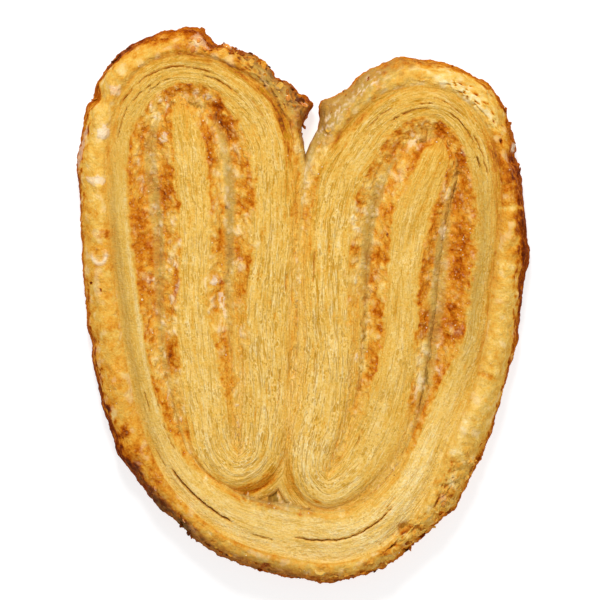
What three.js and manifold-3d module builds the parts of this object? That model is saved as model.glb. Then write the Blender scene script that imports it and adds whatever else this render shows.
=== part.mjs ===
// A palmier: one strip of sugared puff pastry, folded in from both ends into two coils that meet along a
// seam, sliced across the layers and baked lying on a cut face. Millimetres, +Z up. The slice lies flat
// on z = 0 with its two lobes towards +Y.

import * as THREE from 'three';
import { mergeVertices } from 'three/addons/utils/BufferGeometryUtils.js';
import Module from 'manifold-3d';

const wasm = await Module();
wasm.setup();

// Heights, from the tray up.
const CUT_FACE = 13.0;           // top cut face of the dough
const CROWN = 0.3;               // the cut face swells this much along the middle of the strip
const RIM_RISE = 0.7;            // the crust of the rim stands this much over the cut face
const CREASE_DEPTH = 0.4;        // fold between the rim's crust and the cut face
const GROOVE_DEPTH = 2.8;        // sugared grooves between the turns, below the cut face
const UNDER_GROOVE_DEPTH = 1.3;  // the same grooves on the underside, pressed flatter by the tray
const CORE_BOTTOM = 2.6;         // dough that closes the coils under the grooves
const CORE_TOP = 9.2;

// Widths, across the strip.
const SIDE_SLOPE = 0.55;         // a narrow side falls only this much for each millimetre it reaches out
const LAP = 0.9;                 // how far the sides run on into their neighbours below the groove
const LAP_DROP = 0.7;            // and how far they fall on the way
const NOSE_LENGTH = 3.6;         // rounded end of each tongue
const NOSE_TAPER = 0.45;         // share of the width lost at its very end
const NOSE_DROP = 1.4;           // and how far it dips

const SECTION_SPACING = 3.3;     // along the strip
const TUCK = 0.004;              // a length of strip starts this share smaller than the one before it ends
const TUCK_ROOT = 0.15;          // and grows out of a smaller section inside it
const TUCK_DEPTH = 0.3;          // this many stations back
const UNEVENNESS = 0.28;         // slow rise and fall of the baked top

const DOUGH_COLOUR = 0xdcb267;
const DOUGH_ROUGHNESS = 0.72;

// Stations of the strip, in order from the tip of the left tongue round both lobes to the tip of the
// right one: [x, y, half width of the cut face, reach of the outer side, reach of the inner side].
// The inner side is on the left hand all the way.
const LEFT_TONGUE = [
  [-28.7, 48.2, 1.4, 2.6, 3.6],
  [-28.5, 45.6, 2.1, 4.0, 5.6],
  [-26.9, 39.0, 3.5, 5.2, 4.7],
  [-25.7, 29.6, 3.8, 5.6, 4.3],
  [-25.2, 15.5, 3.3, 4.9, 4.7],
  [-25.7, 1.4, 3.1, 4.5, 5.6],
  [-25.0, -8.0, 3.8, 4.2, 4.7],
  [-22.9, -22.1, 4.7, 2.3, 3.2],
  [-20.0, -35.0, 3.8, 2.3, 2.6],
  [-15.1, -38.5, 2.6, 4.7, 1.2],
];
const LEFT_ARM = [
  [-10.6, -35.7, 3.3, 4.4, 2.5],
  [-9.0, -26.8, 4.2, 2.6, 2.7],
  [-8.5, -12.7, 4.0, 3.3, 3.8],
  [-8.3, 1.4, 4.5, 2.6, 4.2],
  [-7.4, 15.5, 4.0, 2.8, 5.9],
  [-7.1, 29.6, 4.2, 3.1, 6.3],
  [-7.6, 38.5, 5.4, 2.3, 5.9],
];
const LEFT_LOBE = [
  [-9.5, 43.5, 4.9, 6.1, 5.2],
  [-12.5, 47.9, 4.7, 5.2, 5.4],
  [-19.6, 53.8, 3.3, 4.3, 4.7],
  [-26.9, 55.5, 3.1, 6.6, 4.4],
  [-34.1, 53.8, 3.5, 6.3, 3.8],
  [-39.8, 47.7, 3.3, 6.6, 4.0],
  [-42.6, 40.2, 2.3, 7.0, 4.5],
  [-43.3, 29.6, 2.3, 6.8, 5.6],
  [-42.6, 15.5, 2.1, 7.4, 7.0],
  [-40.7, 1.4, 2.3, 8.0, 5.2],
  [-39.1, -10.3, 2.3, 8.2, 4.2],
  [-34.6, -28.0, 2.6, 8.0, 3.3],
  [-28.7, -39.7, 3.1, 5.6, 2.8],
  [-17.2, -49.1, 4.3, 5.2, 1.2],
  [-4.5, -53.3, 5.2, 4.7, 1.4],
];
const RIGHT_LOBE = [
  [8.9, -55.0, 4.9, 4.5, 2.1],
  [19.2, -50.3, 4.7, 4.5, 1.9],
  [26.7, -40.9, 3.6, 7.3, 1.9],
  [30.9, -30.8, 3.3, 8.9, 2.1],
  [35.4, -20.9, 3.5, 7.8, 2.6],
  [39.9, -9.2, 2.5, 7.5, 7.3],
  [41.9, 3.8, 2.2, 7.8, 7.8],
  [43.4, 15.5, 2.6, 7.0, 8.2],
  [43.4, 26.1, 3.1, 5.4, 6.1],
  [41.5, 36.7, 3.3, 5.4, 4.0],
  [37.5, 43.5, 3.4, 6.8, 3.8],
  [30.7, 47.9, 3.5, 6.3, 5.2],
  [21.5, 46.1, 4.0, 7.2, 5.6],
  [14.3, 39.7, 4.5, 6.9, 5.4],
  [12.1, 36.2, 4.7, 4.9, 5.0],
];
const RIGHT_ARM = [
  [9.3, 31.5, 4.9, 3.5, 4.5],
  [6.7, 19.0, 4.5, 2.8, 4.2],
  [6.0, 6.1, 4.7, 2.3, 3.8],
  [6.0, -10.3, 4.9, 2.1, 2.6],
  [4.4, -24.4, 4.5, 2.3, 2.7],
  [2.0, -35.0, 3.8, 3.4, 2.3],
];
const RIGHT_TONGUE = [
  [2.5, -40.4, 2.9, 4.8, 1.3],
  [5.8, -43.2, 2.4, 3.4, 1.2],
  [12.1, -39.2, 3.3, 3.1, 2.2],
  [18.0, -29.1, 4.7, 2.6, 3.2],
  [21.3, -17.4, 4.2, 2.6, 4.0],
  [23.2, -3.3, 3.8, 3.3, 5.2],
  [23.9, 9.6, 3.8, 4.0, 5.2],
  [26.2, 21.4, 4.2, 2.8, 5.4],
  [29.8, 30.8, 3.8, 2.3, 6.2],
  [31.9, 36.4, 2.6, 2.1, 6.6],
  [32.6, 38.8, 1.6, 2.2, 5.6],
];
const STRETCHES = [LEFT_TONGUE, LEFT_ARM, LEFT_LOBE, RIGHT_LOBE, RIGHT_ARM, RIGHT_TONGUE];

// Crags and nicks of the baked crust: [x, y, radius, push outwards, lift]. A negative push is a nick.
const CRAGS = [
  [-25.5, 65.0, 5.0, 0.7, 0.3],
  [-20.8, 62.2, 3.2, -1.3, -0.3],
  [-11.5, 59.6, 5.5, 0.7, 0.8],
  [-5.2, 54.2, 3.6, -1.2, 0.2],
  [0.6, 46.6, 4.2, 1.7, 0.7],
  [-0.6, 41.4, 3.0, -1.0, -0.3],
  [5.2, 47.2, 4.0, 1.6, 0.0],
  [11.4, 51.4, 3.6, -0.9, 0.2],
  [22.6, 59.0, 3.6, 0.9, 0.3],
  [44.0, 53.6, 3.4, 0.9, 0.2],
  [49.6, 35.0, 3.4, -1.0, -0.4],
  [52.8, 11.5, 5.5, 0.6, 0.2],
  [46.3, -30.0, 5.0, 0.6, 0.3],
  [36.0, -48.0, 4.0, 0.9, -0.4],
  [24.5, -54.5, 6.5, -0.4, -0.8],
  [5.5, -65.0, 5.0, 0.5, -0.3],
  [-30.0, -52.0, 5.0, -0.5, -0.5],
  [-41.5, -34.5, 4.0, 0.7, 0.3],
  [-48.6, 49.2, 3.6, -1.3, -0.6],
  [-52.8, 33.0, 6.0, 0.8, 0.3],
  [-48.6, -8.5, 4.0, -0.5, -0.5],
];

const { lerp, smoothstep } = THREE.MathUtils;
const UP = new THREE.Vector3(0, 0, 1);

const strip = STRETCHES.flat();
const firstOfLobes = LEFT_TONGUE.length + LEFT_ARM.length;
const lastOfLobes = firstOfLobes + LEFT_LOBE.length + RIGHT_LOBE.length - 1;
const stripLine = new THREE.CatmullRomCurve3(strip.map(([x, y]) => new THREE.Vector3(x, y, 0)));
const stripWidths = new THREE.CatmullRomCurve3(strip.map((row) => new THREE.Vector3(...row.slice(2))));

// One side of the section, [distance from the middle, height] from the edge of the cut face down to the
// tray, where it slopes into a sugared groove and runs on into its neighbour.
function grooveSide(cut, reach) {
  const drop = Math.min(GROOVE_DEPTH, SIDE_SLOPE * reach);
  const share = drop / GROOVE_DEPTH;
  const under = UNDER_GROOVE_DEPTH * share;
  const edge = cut + reach;
  const lap = edge + LAP * share;
  return [
    [cut, CUT_FACE],
    [cut + 0.3 * reach, CUT_FACE - 0.3 * drop],
    [cut + 0.65 * reach, CUT_FACE - 0.85 * drop],
    [edge, CUT_FACE - drop],
    [lap, CUT_FACE - drop - LAP_DROP],
    [lap, under + LAP_DROP],
    [edge, under],
    [cut + 0.5 * reach, 0.5 * under],
    [cut, 0],
  ];
}

// The same side where it is the crust of the rim: up out of the crease, over and down to the tray.
function rimSide(cut, reach) {
  return [
    [cut, CUT_FACE - CREASE_DEPTH],
    [cut + 0.22 * reach, CUT_FACE + RIM_RISE],
    [cut + 0.52 * reach, CUT_FACE + 0.5 * RIM_RISE],
    [cut + 0.78 * reach, CUT_FACE - 2.0],
    [cut + 0.95 * reach, 0.55 * CUT_FACE],
    [cut + reach, 0.33 * CUT_FACE],
    [cut + 0.98 * reach, 0.15 * CUT_FACE],
    [cut + 0.9 * reach, 0.04 * CUT_FACE],
    [cut + 0.72 * reach, 0],
  ];
}

// How much of the outer side is rim at a station: all of it round the lobes, none between the arms.
function rimShare(station) {
  const rising = smoothstep(station, firstOfLobes - 2, firstOfLobes);
  const falling = smoothstep(station, lastOfLobes - 1, lastOfLobes + 1);
  return rising - falling;
}

// Slow waves of the baked top and the rim's outline.
function wave(x, y) {
  return Math.sin(0.21 * x + 1.3) * Math.cos(0.17 * y - 0.4) + 0.5 * Math.sin(0.43 * x - 0.37 * y);
}

// The section of the strip at a station between 0 and the last one, as points in space, from the outer
// foot over the top to the inner foot.
function sectionAt(station) {
  const t = station / (strip.length - 1);
  const place = stripLine.getPoint(t);
  const inward = new THREE.Vector3().crossVectors(UP, stripLine.getTangent(t));
  const [cut, outer, inner] = stripWidths.getPoint(t).toArray();
  const rim = rimShare(station);
  const crust = rimSide(cut, outer);
  const outerSide = grooveSide(cut, outer).map(([away, height], i) => (
    { away: -lerp(away, crust[i][0], rim), height: lerp(height, crust[i][1], rim), rim }
  ));
  const innerSide = grooveSide(cut, inner).map(([away, height]) => ({ away, height, rim: 0 }));
  const middle = { away: 0, height: CUT_FACE + CROWN, rim: 0 };
  const tipDistance = Math.min(place.distanceTo(stripLine.points[0]), place.distanceTo(stripLine.points.at(-1)));
  const nose = 1 - smoothstep(tipDistance, 0, NOSE_LENGTH);

  return [...outerSide.reverse(), middle, ...innerSide].map((spot) => {
    const point = place.clone().addScaledVector(inward, spot.away * (1 - NOSE_TAPER * nose));
    const top = spot.height / CUT_FACE;
    point.z = spot.height + top * (UNEVENNESS * wave(point.x, point.y) - NOSE_DROP * nose);
    for (const [x, y, radius, push, lift] of CRAGS) {
      const near = Math.max(0, 1 - ((point.x - x) ** 2 + (point.y - y) ** 2) / radius ** 2) ** 2;
      point.addScaledVector(inward, -push * near * spot.rim);
      point.z += lift * near * spot.rim * top;
    }
    return point;
  });
}

// The middle of a section, which its end face fans out from.
function hubOf(section) {
  const middle = section[(section.length - 1) / 2];
  return new THREE.Vector3(middle.x, middle.y, 0.5 * middle.z);
}

function shrunk(section, share) {
  const hub = hubOf(section);
  return section.map((point) => point.clone().lerp(hub, share));
}

// A closed length of the strip between two of its stations. All but the first grow out of the one before.
function stretchBetween(first, last) {
  const sections = [];
  for (let span = first; span < last; span += 1) {
    const chord = stripLine.points[span].distanceTo(stripLine.points[span + 1]);
    const steps = Math.max(1, Math.round(chord / SECTION_SPACING));
    for (let step = 0; step < steps; step += 1) {
      sections.push(sectionAt(span + step / steps));
    }
  }
  sections.push(sectionAt(last));
  if (first > 0) {
    sections[0] = shrunk(sections[0], TUCK);
    sections.unshift(shrunk(sectionAt(first - TUCK_DEPTH), TUCK_ROOT));
  }

  const around = sections[0].length;
  const faces = [];
  for (let row = 0; row < sections.length - 1; row += 1) {
    for (let k = 0; k < around; k += 1) {
      const next = (k + 1) % around;
      const here = row * around;
      const beyond = here + around;
      faces.push(here + k, beyond + k, beyond + next, here + k, beyond + next, here + next);
    }
  }
  const points = sections.flat();
  const lastRow = points.length - around;
  const startHub = points.push(hubOf(sections[0])) - 1;
  const endHub = points.push(hubOf(sections.at(-1))) - 1;
  for (let k = 0; k < around; k += 1) {
    const next = (k + 1) % around;
    faces.push(startHub, k, next, endHub, lastRow + next, lastRow + k);
  }
  const geometry = new THREE.BufferGeometry().setFromPoints(points);
  geometry.setIndex(faces);
  return geometry;
}

// The dough under the grooves, inside the middle line of both lobes.
function coreGeometry() {
  const corners = [...LEFT_LOBE, ...RIGHT_LOBE, RIGHT_ARM[0], LEFT_ARM.at(-2)];
  const outline = new THREE.Shape(corners.map(([x, y]) => new THREE.Vector2(x, y)));
  const geometry = new THREE.ExtrudeGeometry(outline, { depth: CORE_TOP - CORE_BOTTOM, bevelEnabled: false });
  return geometry.translate(0, 0, CORE_BOTTOM);
}

function solidOf(geometry) {
  geometry.deleteAttribute('normal');
  geometry.deleteAttribute('uv');
  const merged = mergeVertices(geometry);
  return new wasm.Manifold(new wasm.Mesh({
    numProp: 3,
    vertProperties: merged.attributes.position.array,
    triVerts: new Uint32Array(merged.index.array),
  }));
}

function geometryOf(solid) {
  const { vertProperties, triVerts } = solid.getMesh();
  const geometry = new THREE.BufferGeometry();
  geometry.setAttribute('position', new THREE.BufferAttribute(vertProperties, 3));
  geometry.setIndex(new THREE.BufferAttribute(triVerts, 1));
  geometry.computeVertexNormals();
  return geometry;
}

let pastry = solidOf(coreGeometry());
let first = 0;
for (const stretch of STRETCHES) {
  const last = Math.min(first + stretch.length, strip.length - 1);
  pastry = pastry.add(solidOf(stretchBetween(first, last)));
  first = last;
}

const dough = new THREE.MeshStandardMaterial({ color: DOUGH_COLOUR, roughness: DOUGH_ROUGHNESS, metalness: 0 });
const palmier = new THREE.Mesh(geometryOf(pastry), dough);
palmier.name = 'palmier';

const part = new THREE.Group();
part.add(palmier);

export default part;
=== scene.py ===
"""A palmier: a strip of sugared puff pastry folded in from both ends into two coils, sliced and baked flat.

The strip is laid along the line through its stations. Its section, a cut face between two sides, is swept
along that line, and the leaves, the sugared grooves and the browned rim are raised on it at true size.
Sizes are in millimetres until a mesh is made, +Z up from the tray.
"""

import itertools
import logging
import math
from collections.abc import Callable
from dataclasses import dataclass, field
from enum import Enum
from functools import partial, reduce

import bpy
import numpy as np
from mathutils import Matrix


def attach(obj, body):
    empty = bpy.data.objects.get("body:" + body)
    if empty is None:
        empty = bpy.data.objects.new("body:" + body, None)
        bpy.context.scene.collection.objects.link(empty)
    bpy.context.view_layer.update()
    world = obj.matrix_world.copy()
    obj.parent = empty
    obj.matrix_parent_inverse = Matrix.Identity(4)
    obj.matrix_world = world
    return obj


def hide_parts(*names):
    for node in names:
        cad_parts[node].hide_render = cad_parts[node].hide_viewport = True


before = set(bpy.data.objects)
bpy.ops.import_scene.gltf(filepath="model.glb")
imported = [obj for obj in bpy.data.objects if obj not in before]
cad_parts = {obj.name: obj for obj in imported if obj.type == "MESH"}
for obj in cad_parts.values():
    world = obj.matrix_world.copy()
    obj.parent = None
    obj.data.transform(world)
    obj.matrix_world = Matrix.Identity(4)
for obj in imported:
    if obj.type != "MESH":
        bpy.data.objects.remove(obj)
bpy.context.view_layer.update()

log = logging.getLogger("palmier")

MM = 0.001
NODE = "palmier"
BODY = "root"

RGB = tuple[int, int, int]  # sRGB of 0 to 255
Array = np.ndarray
Piece = bpy.types.Object
Socket = bpy.types.NodeSocket

# Stations of the strip, from the tip of the left tongue round both lobes to the tip of the right one:
# x, y, half width of the cut face, reach of the outer side, reach of the inner side.
LEFT_TONGUE = (
    (-28.7, 48.2, 1.4, 2.6, 3.6), (-28.5, 45.6, 2.1, 4, 5.6), (-26.9, 39, 3.5, 5.2, 4.7),
    (-25.7, 29.6, 3.8, 5.6, 4.3), (-25.2, 15.5, 3.3, 4.9, 4.7), (-25.7, 1.4, 3.1, 4.5, 5.6),
    (-25, -8, 3.8, 4.2, 4.7), (-22.9, -22.1, 4.7, 2.3, 3.2), (-20, -35, 3.8, 2.3, 2.6),
    (-15.1, -38.5, 2.6, 4.7, 1.2),
)
LEFT_ARM = (
    (-10.6, -35.7, 3.3, 4.4, 2.5), (-9, -26.8, 4.2, 2.6, 2.7), (-8.5, -12.7, 4, 3.3, 3.8),
    (-8.3, 1.4, 4.5, 2.6, 4.2), (-7.4, 15.5, 4, 2.8, 5.9), (-7.1, 29.6, 4.2, 3.1, 6.3),
    (-7.6, 38.5, 5.4, 2.3, 5.9),
)
LEFT_LOBE = (
    (-9.5, 43.5, 4.9, 6.1, 5.2), (-12.5, 47.9, 4.7, 5.2, 5.4), (-19.6, 53.8, 3.3, 4.3, 4.7),
    (-26.9, 55.5, 3.1, 6.6, 4.4), (-34.1, 53.8, 3.5, 6.3, 3.8), (-39.8, 47.7, 3.3, 6.6, 4),
    (-42.6, 40.2, 2.3, 7, 4.5), (-43.3, 29.6, 2.3, 6.8, 5.6), (-42.6, 15.5, 2.1, 7.4, 7),
    (-40.7, 1.4, 2.3, 8, 5.2), (-39.1, -10.3, 2.3, 8.2, 4.2), (-34.6, -28, 2.6, 8, 3.3),
    (-28.7, -39.7, 3.1, 5.6, 2.8), (-17.2, -49.1, 4.3, 5.2, 1.2), (-4.5, -53.3, 5.2, 4.7, 1.4),
)
RIGHT_LOBE = (
    (8.9, -55, 4.9, 4.5, 2.1), (19.2, -50.3, 4.7, 4.5, 1.9), (26.7, -40.9, 3.6, 7.3, 1.9),
    (30.9, -30.8, 3.3, 8.9, 2.1), (35.4, -20.9, 3.5, 7.8, 2.6), (39.9, -9.2, 2.5, 7.5, 7.3),
    (41.9, 3.8, 2.2, 7.8, 7.8), (43.4, 15.5, 2.6, 7, 8.2), (43.4, 26.1, 3.1, 5.4, 6.1),
    (41.5, 36.7, 3.3, 5.4, 4), (37.5, 43.5, 3.4, 6.8, 3.8), (30.7, 47.9, 3.5, 6.3, 5.2),
    (21.5, 46.1, 4, 7.2, 5.6), (14.3, 39.7, 4.5, 6.9, 5.4), (12.1, 36.2, 4.7, 4.9, 5),
)
RIGHT_ARM = (
    (9.3, 31.5, 4.9, 3.5, 4.5), (6.7, 19, 4.5, 2.8, 4.2), (6, 6.1, 4.7, 2.3, 3.8),
    (6, -10.3, 4.9, 2.1, 2.6), (4.4, -24.4, 4.5, 2.3, 2.7), (2, -35, 3.8, 3.4, 2.3),
)
RIGHT_TONGUE = (
    (2.5, -40.4, 2.9, 4.8, 1.3), (5.8, -43.2, 2.4, 3.4, 1.2), (12.1, -39.2, 3.3, 3.1, 2.2),
    (18, -29.1, 4.7, 2.6, 3.2), (21.3, -17.4, 4.2, 2.6, 4), (23.2, -3.3, 3.8, 3.3, 5.2),
    (23.9, 9.6, 3.8, 4, 5.2), (26.2, 21.4, 4.2, 2.8, 5.4), (29.8, 30.8, 3.8, 2.3, 6.2),
    (31.9, 36.4, 2.6, 2.1, 6.6), (32.6, 38.8, 1.6, 2.2, 5.6),
)
STATIONS = LEFT_TONGUE + LEFT_ARM + LEFT_LOBE + RIGHT_LOBE + RIGHT_ARM + RIGHT_TONGUE
FIRST_OF_LOBES = len(LEFT_TONGUE) + len(LEFT_ARM)
LAST_OF_LOBES = FIRST_OF_LOBES + len(LEFT_LOBE) + len(RIGHT_LOBE) - 1

# Crags and nicks of the baked crust: x, y, radius, push outwards, lift. A negative push is a nick.
CRAGS = (
    (-25.5, 65, 5, 0.7, 0.3), (-20.8, 62.2, 3.2, -1.3, -0.3), (-11.5, 59.6, 5.5, 0.7, 0.8),
    (-5.2, 54.2, 3.6, -1.2, 0.2), (0.6, 46.6, 4.2, 1.7, 0.7), (-0.6, 41.4, 3, -1, -0.3),
    (5.2, 47.2, 4, 1.6, 0), (11.4, 51.4, 3.6, -0.9, 0.2), (22.6, 59, 3.6, 0.9, 0.3),
    (44, 53.6, 3.4, 0.9, 0.2), (49.6, 35, 3.4, -1, -0.4), (52.8, 11.5, 5.5, 0.6, 0.2),
    (46.3, -30, 5, 0.6, 0.3), (36, -48, 4, 0.9, -0.4), (24.5, -54.5, 6.5, -0.4, -0.8),
    (5.5, -65, 5, 0.5, -0.3), (-30, -52, 5, -0.5, -0.5), (-41.5, -34.5, 4, 0.7, 0.3),
    (-48.6, 49.2, 3.6, -1.3, -0.6), (-52.8, 33, 6, 0.8, 0.3), (-48.6, -8.5, 4, -0.5, -0.5),
)


class Kind(Enum):
    """What a mark on the dough is."""

    TOAST = "toast"      # browner
    PALE = "pale"        # paler
    GLAZE = "glaze"      # dried white sugar glaze, standing proud
    DUSK = "dusk"        # dull olive crumb, painted shade where it lies in grooves, creases and under the rim
    HOLE = "hole"        # hollow with a browned floor
    BUMP = "bump"        # blister
    SPECK = "speck"      # burnt crumb
    CRACK = "crack"      # open split between leaves
    CRUMB = "crumb"      # crust torn off, pale crumb showing
    FROST = "frost"      # dusting of sugar
    DROP = "drop"        # dried drop of glaze with a white rim, open at its start


@dataclass(frozen=True)
class Mark:
    """One feature of the strip, by its place along it and across it.

    Attributes:
        kind: what it is.
        along: place along the strip.
        across: place across it, inner side positive.
        length: size along the strip.
        width: size across it.
        amount: strength, or depth in millimetres of a hole or crack.
        drift: how far across a long one has moved by its end, against its start.
    """

    kind: Kind
    along: float
    across: float
    length: float
    width: float
    amount: float
    drift: float = 0.0


# Profiles along the strip, as (place along, amount) pairs.
INNER_BAKE = (
    (0, 0.5), (4, 0.62), (14, 0.66), (20, 0.5), (24, 0.48), (60, 0.49), (72, 0.43), (80, 0.36), (88, 0.34),
    (116, 0.35), (124, 0.44), (150, 0.5), (165, 0.6), (180, 0.66), (190, 0.58), (198, 0.5), (216, 0.5),
    (221, 0.7), (240, 0.74), (262, 0.68), (275, 0.57), (284, 0.48), (300, 0.44), (316, 0.42), (322, 0.52),
    (334, 0.52), (342, 0.42), (356, 0.4), (374, 0.38), (380, 0.57), (390, 0.64), (400, 0.74), (440, 0.73),
    (446, 0.66), (466, 0.6), (474, 0.52), (490, 0.5), (500, 0.5), (528, 0.46), (540, 0.36), (565, 0.34),
    (590, 0.36), (598, 0.46), (606, 0.56), (628, 0.58), (640, 0.66), (662, 0.6),
)
OUTER_BAKE = (
    (0, 0.5), (5, 0.68), (12, 0.66), (30, 0.6), (46, 0.54), (60, 0.5), (78, 0.44), (86, 0.42), (98, 0.34),
    (140, 0.37), (165, 0.46), (172, 0.6), (500, 0.5), (512, 0.42), (532, 0.33), (566, 0.34), (594, 0.4),
    (603, 0.52), (612, 0.6), (630, 0.7), (645, 0.76), (662, 0.62),
)
CUT_BAKE = (
    (0, 0.5), (4, 0.42), (10, 0.33), (60, 0.28), (90, 0.28), (130, 0.3), (168, 0.34), (188, 0.35),
    (214, 0.35), (228, 0.34), (250, 0.33), (296, 0.29), (305, 0.22), (350, 0.19), (376, 0.24), (396, 0.3),
    (430, 0.34), (440, 0.37), (475, 0.36), (496, 0.33), (510, 0.31), (560, 0.26), (576, 0.28), (610, 0.31),
    (640, 0.32), (655, 0.42), (662, 0.5),
)
# How far the cut face is dulled toward olive: painted shade on the lobes, where the cut face dips under the
# rim, and a slight dull tone elsewhere.
CUT_DULL_AND_SHADE = (
    (0, 0.1), (90, 0.08), (170, 0.15), (188, 0.28), (218, 0.3), (230, 0.42), (290, 0.36), (303, 0.12),
    (350, 0), (376, 0), (392, 0.15), (404, 0.42), (440, 0.42), (452, 0.28), (486, 0.26), (504, 0.1),
    (560, 0.08), (576, 0.12), (640, 0.18), (662, 0.05),
)
LEAFINESS = (
    (0, 0.7), (20, 0.8), (60, 0.8), (90, 1), (165, 0.95), (190, 0.9), (212, 0.75), (224, 0.5), (292, 0.5),
    (302, 0.45), (330, 0.5), (350, 0.6), (392, 0.6), (402, 0.75), (440, 0.8), (450, 0.9), (560, 1),
    (590, 0.75), (662, 0.6),
)
RUGGEDNESS = (
    (150, 0.4), (170, 0.9), (190, 1), (197, 0.6), (216, 0.45), (222, 0.25), (296, 0.2), (304, 0.6),
    (340, 0.75), (352, 0.95), (376, 0.95), (384, 0.3), (436, 0.22), (442, 0.4), (452, 0.55), (470, 0.55),
    (490, 0.5), (510, 0.4),
)
RIM_EDGE_BAKE = (
    (150, 0.6), (170, 0.72), (190, 0.8), (197, 0.76), (204, 0.78), (214, 0.8), (218, 0.72), (232, 0.78),
    (246, 0.66), (262, 0.7), (272, 0.86), (280, 0.94), (298, 0.94), (304, 0.88), (340, 0.78), (356, 0.7),
    (374, 0.72), (382, 0.76), (400, 0.8), (406, 0.74), (412, 0.9), (433, 0.9), (440, 0.84), (452, 0.76),
    (466, 0.68), (474, 0.62), (494, 0.64), (500, 0.62),
)
RIM_TOAST_FROM = (
    (150, 0.84), (166, 0.74), (176, 0.58), (190, 0.5), (202, 0.42), (208, 0.66), (216, 0.78), (226, 0.74),
    (240, 0.84), (270, 0.9), (278, 0.82), (286, 0.7), (294, 0.6), (306, 0.42), (332, 0.42), (346, 0.6),
    (356, 0.78), (372, 0.92), (400, 0.92), (408, 0.84), (420, 0.66), (428, 0.4), (438, 0.34), (449, 0.64),
    (454, 0.84), (464, 0.72), (472, 0.4), (492, 0.36), (500, 0.8),
)
RIM_TOP_BAKE = (
    (150, 0.5), (172, 0.5), (190, 0.5), (198, 0.5), (206, 0.4), (216, 0.36), (234, 0.39), (245, 0.43),
    (286, 0.44), (293, 0.52), (303, 0.52), (318, 0.46), (345, 0.43), (376, 0.34), (392, 0.31), (404, 0.34),
    (420, 0.39), (434, 0.48), (440, 0.6), (450, 0.6), (455, 0.32), (462, 0.28), (470, 0.34), (482, 0.38),
    (500, 0.44),
)
# Painted shade in the crease between the cut face and the rim, cast by the rim: how much browner it is
# painted there.
CREASE_SHADE = (
    (150, 0), (168, 0.3), (186, 0.42), (202, 0.3), (210, 0.1), (236, 0.1), (256, 0.08), (276, 0.02),
    (296, 0.1), (304, 0), (384, 0), (396, 0.08), (412, 0.2), (440, 0.28), (450, 0.26), (455, 0), (466, 0),
    (478, 0.12), (486, 0.2), (492, 0.2), (512, 0.08), (530, 0),
)
FROSTING = (
    (0, 0.2), (20, 0.4), (26, 1.2), (88, 1), (120, 0.6), (150, 0.7), (176, 0.5), (188, 1), (203, 1.5),
    (216, 1.5), (222, 0.3), (300, 0.3), (400, 0.3), (466, 0.4), (474, 0.9), (500, 0.8), (560, 0.8),
    (595, 1.2), (604, 0.5), (636, 0.5), (662, 0.8),
)

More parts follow.
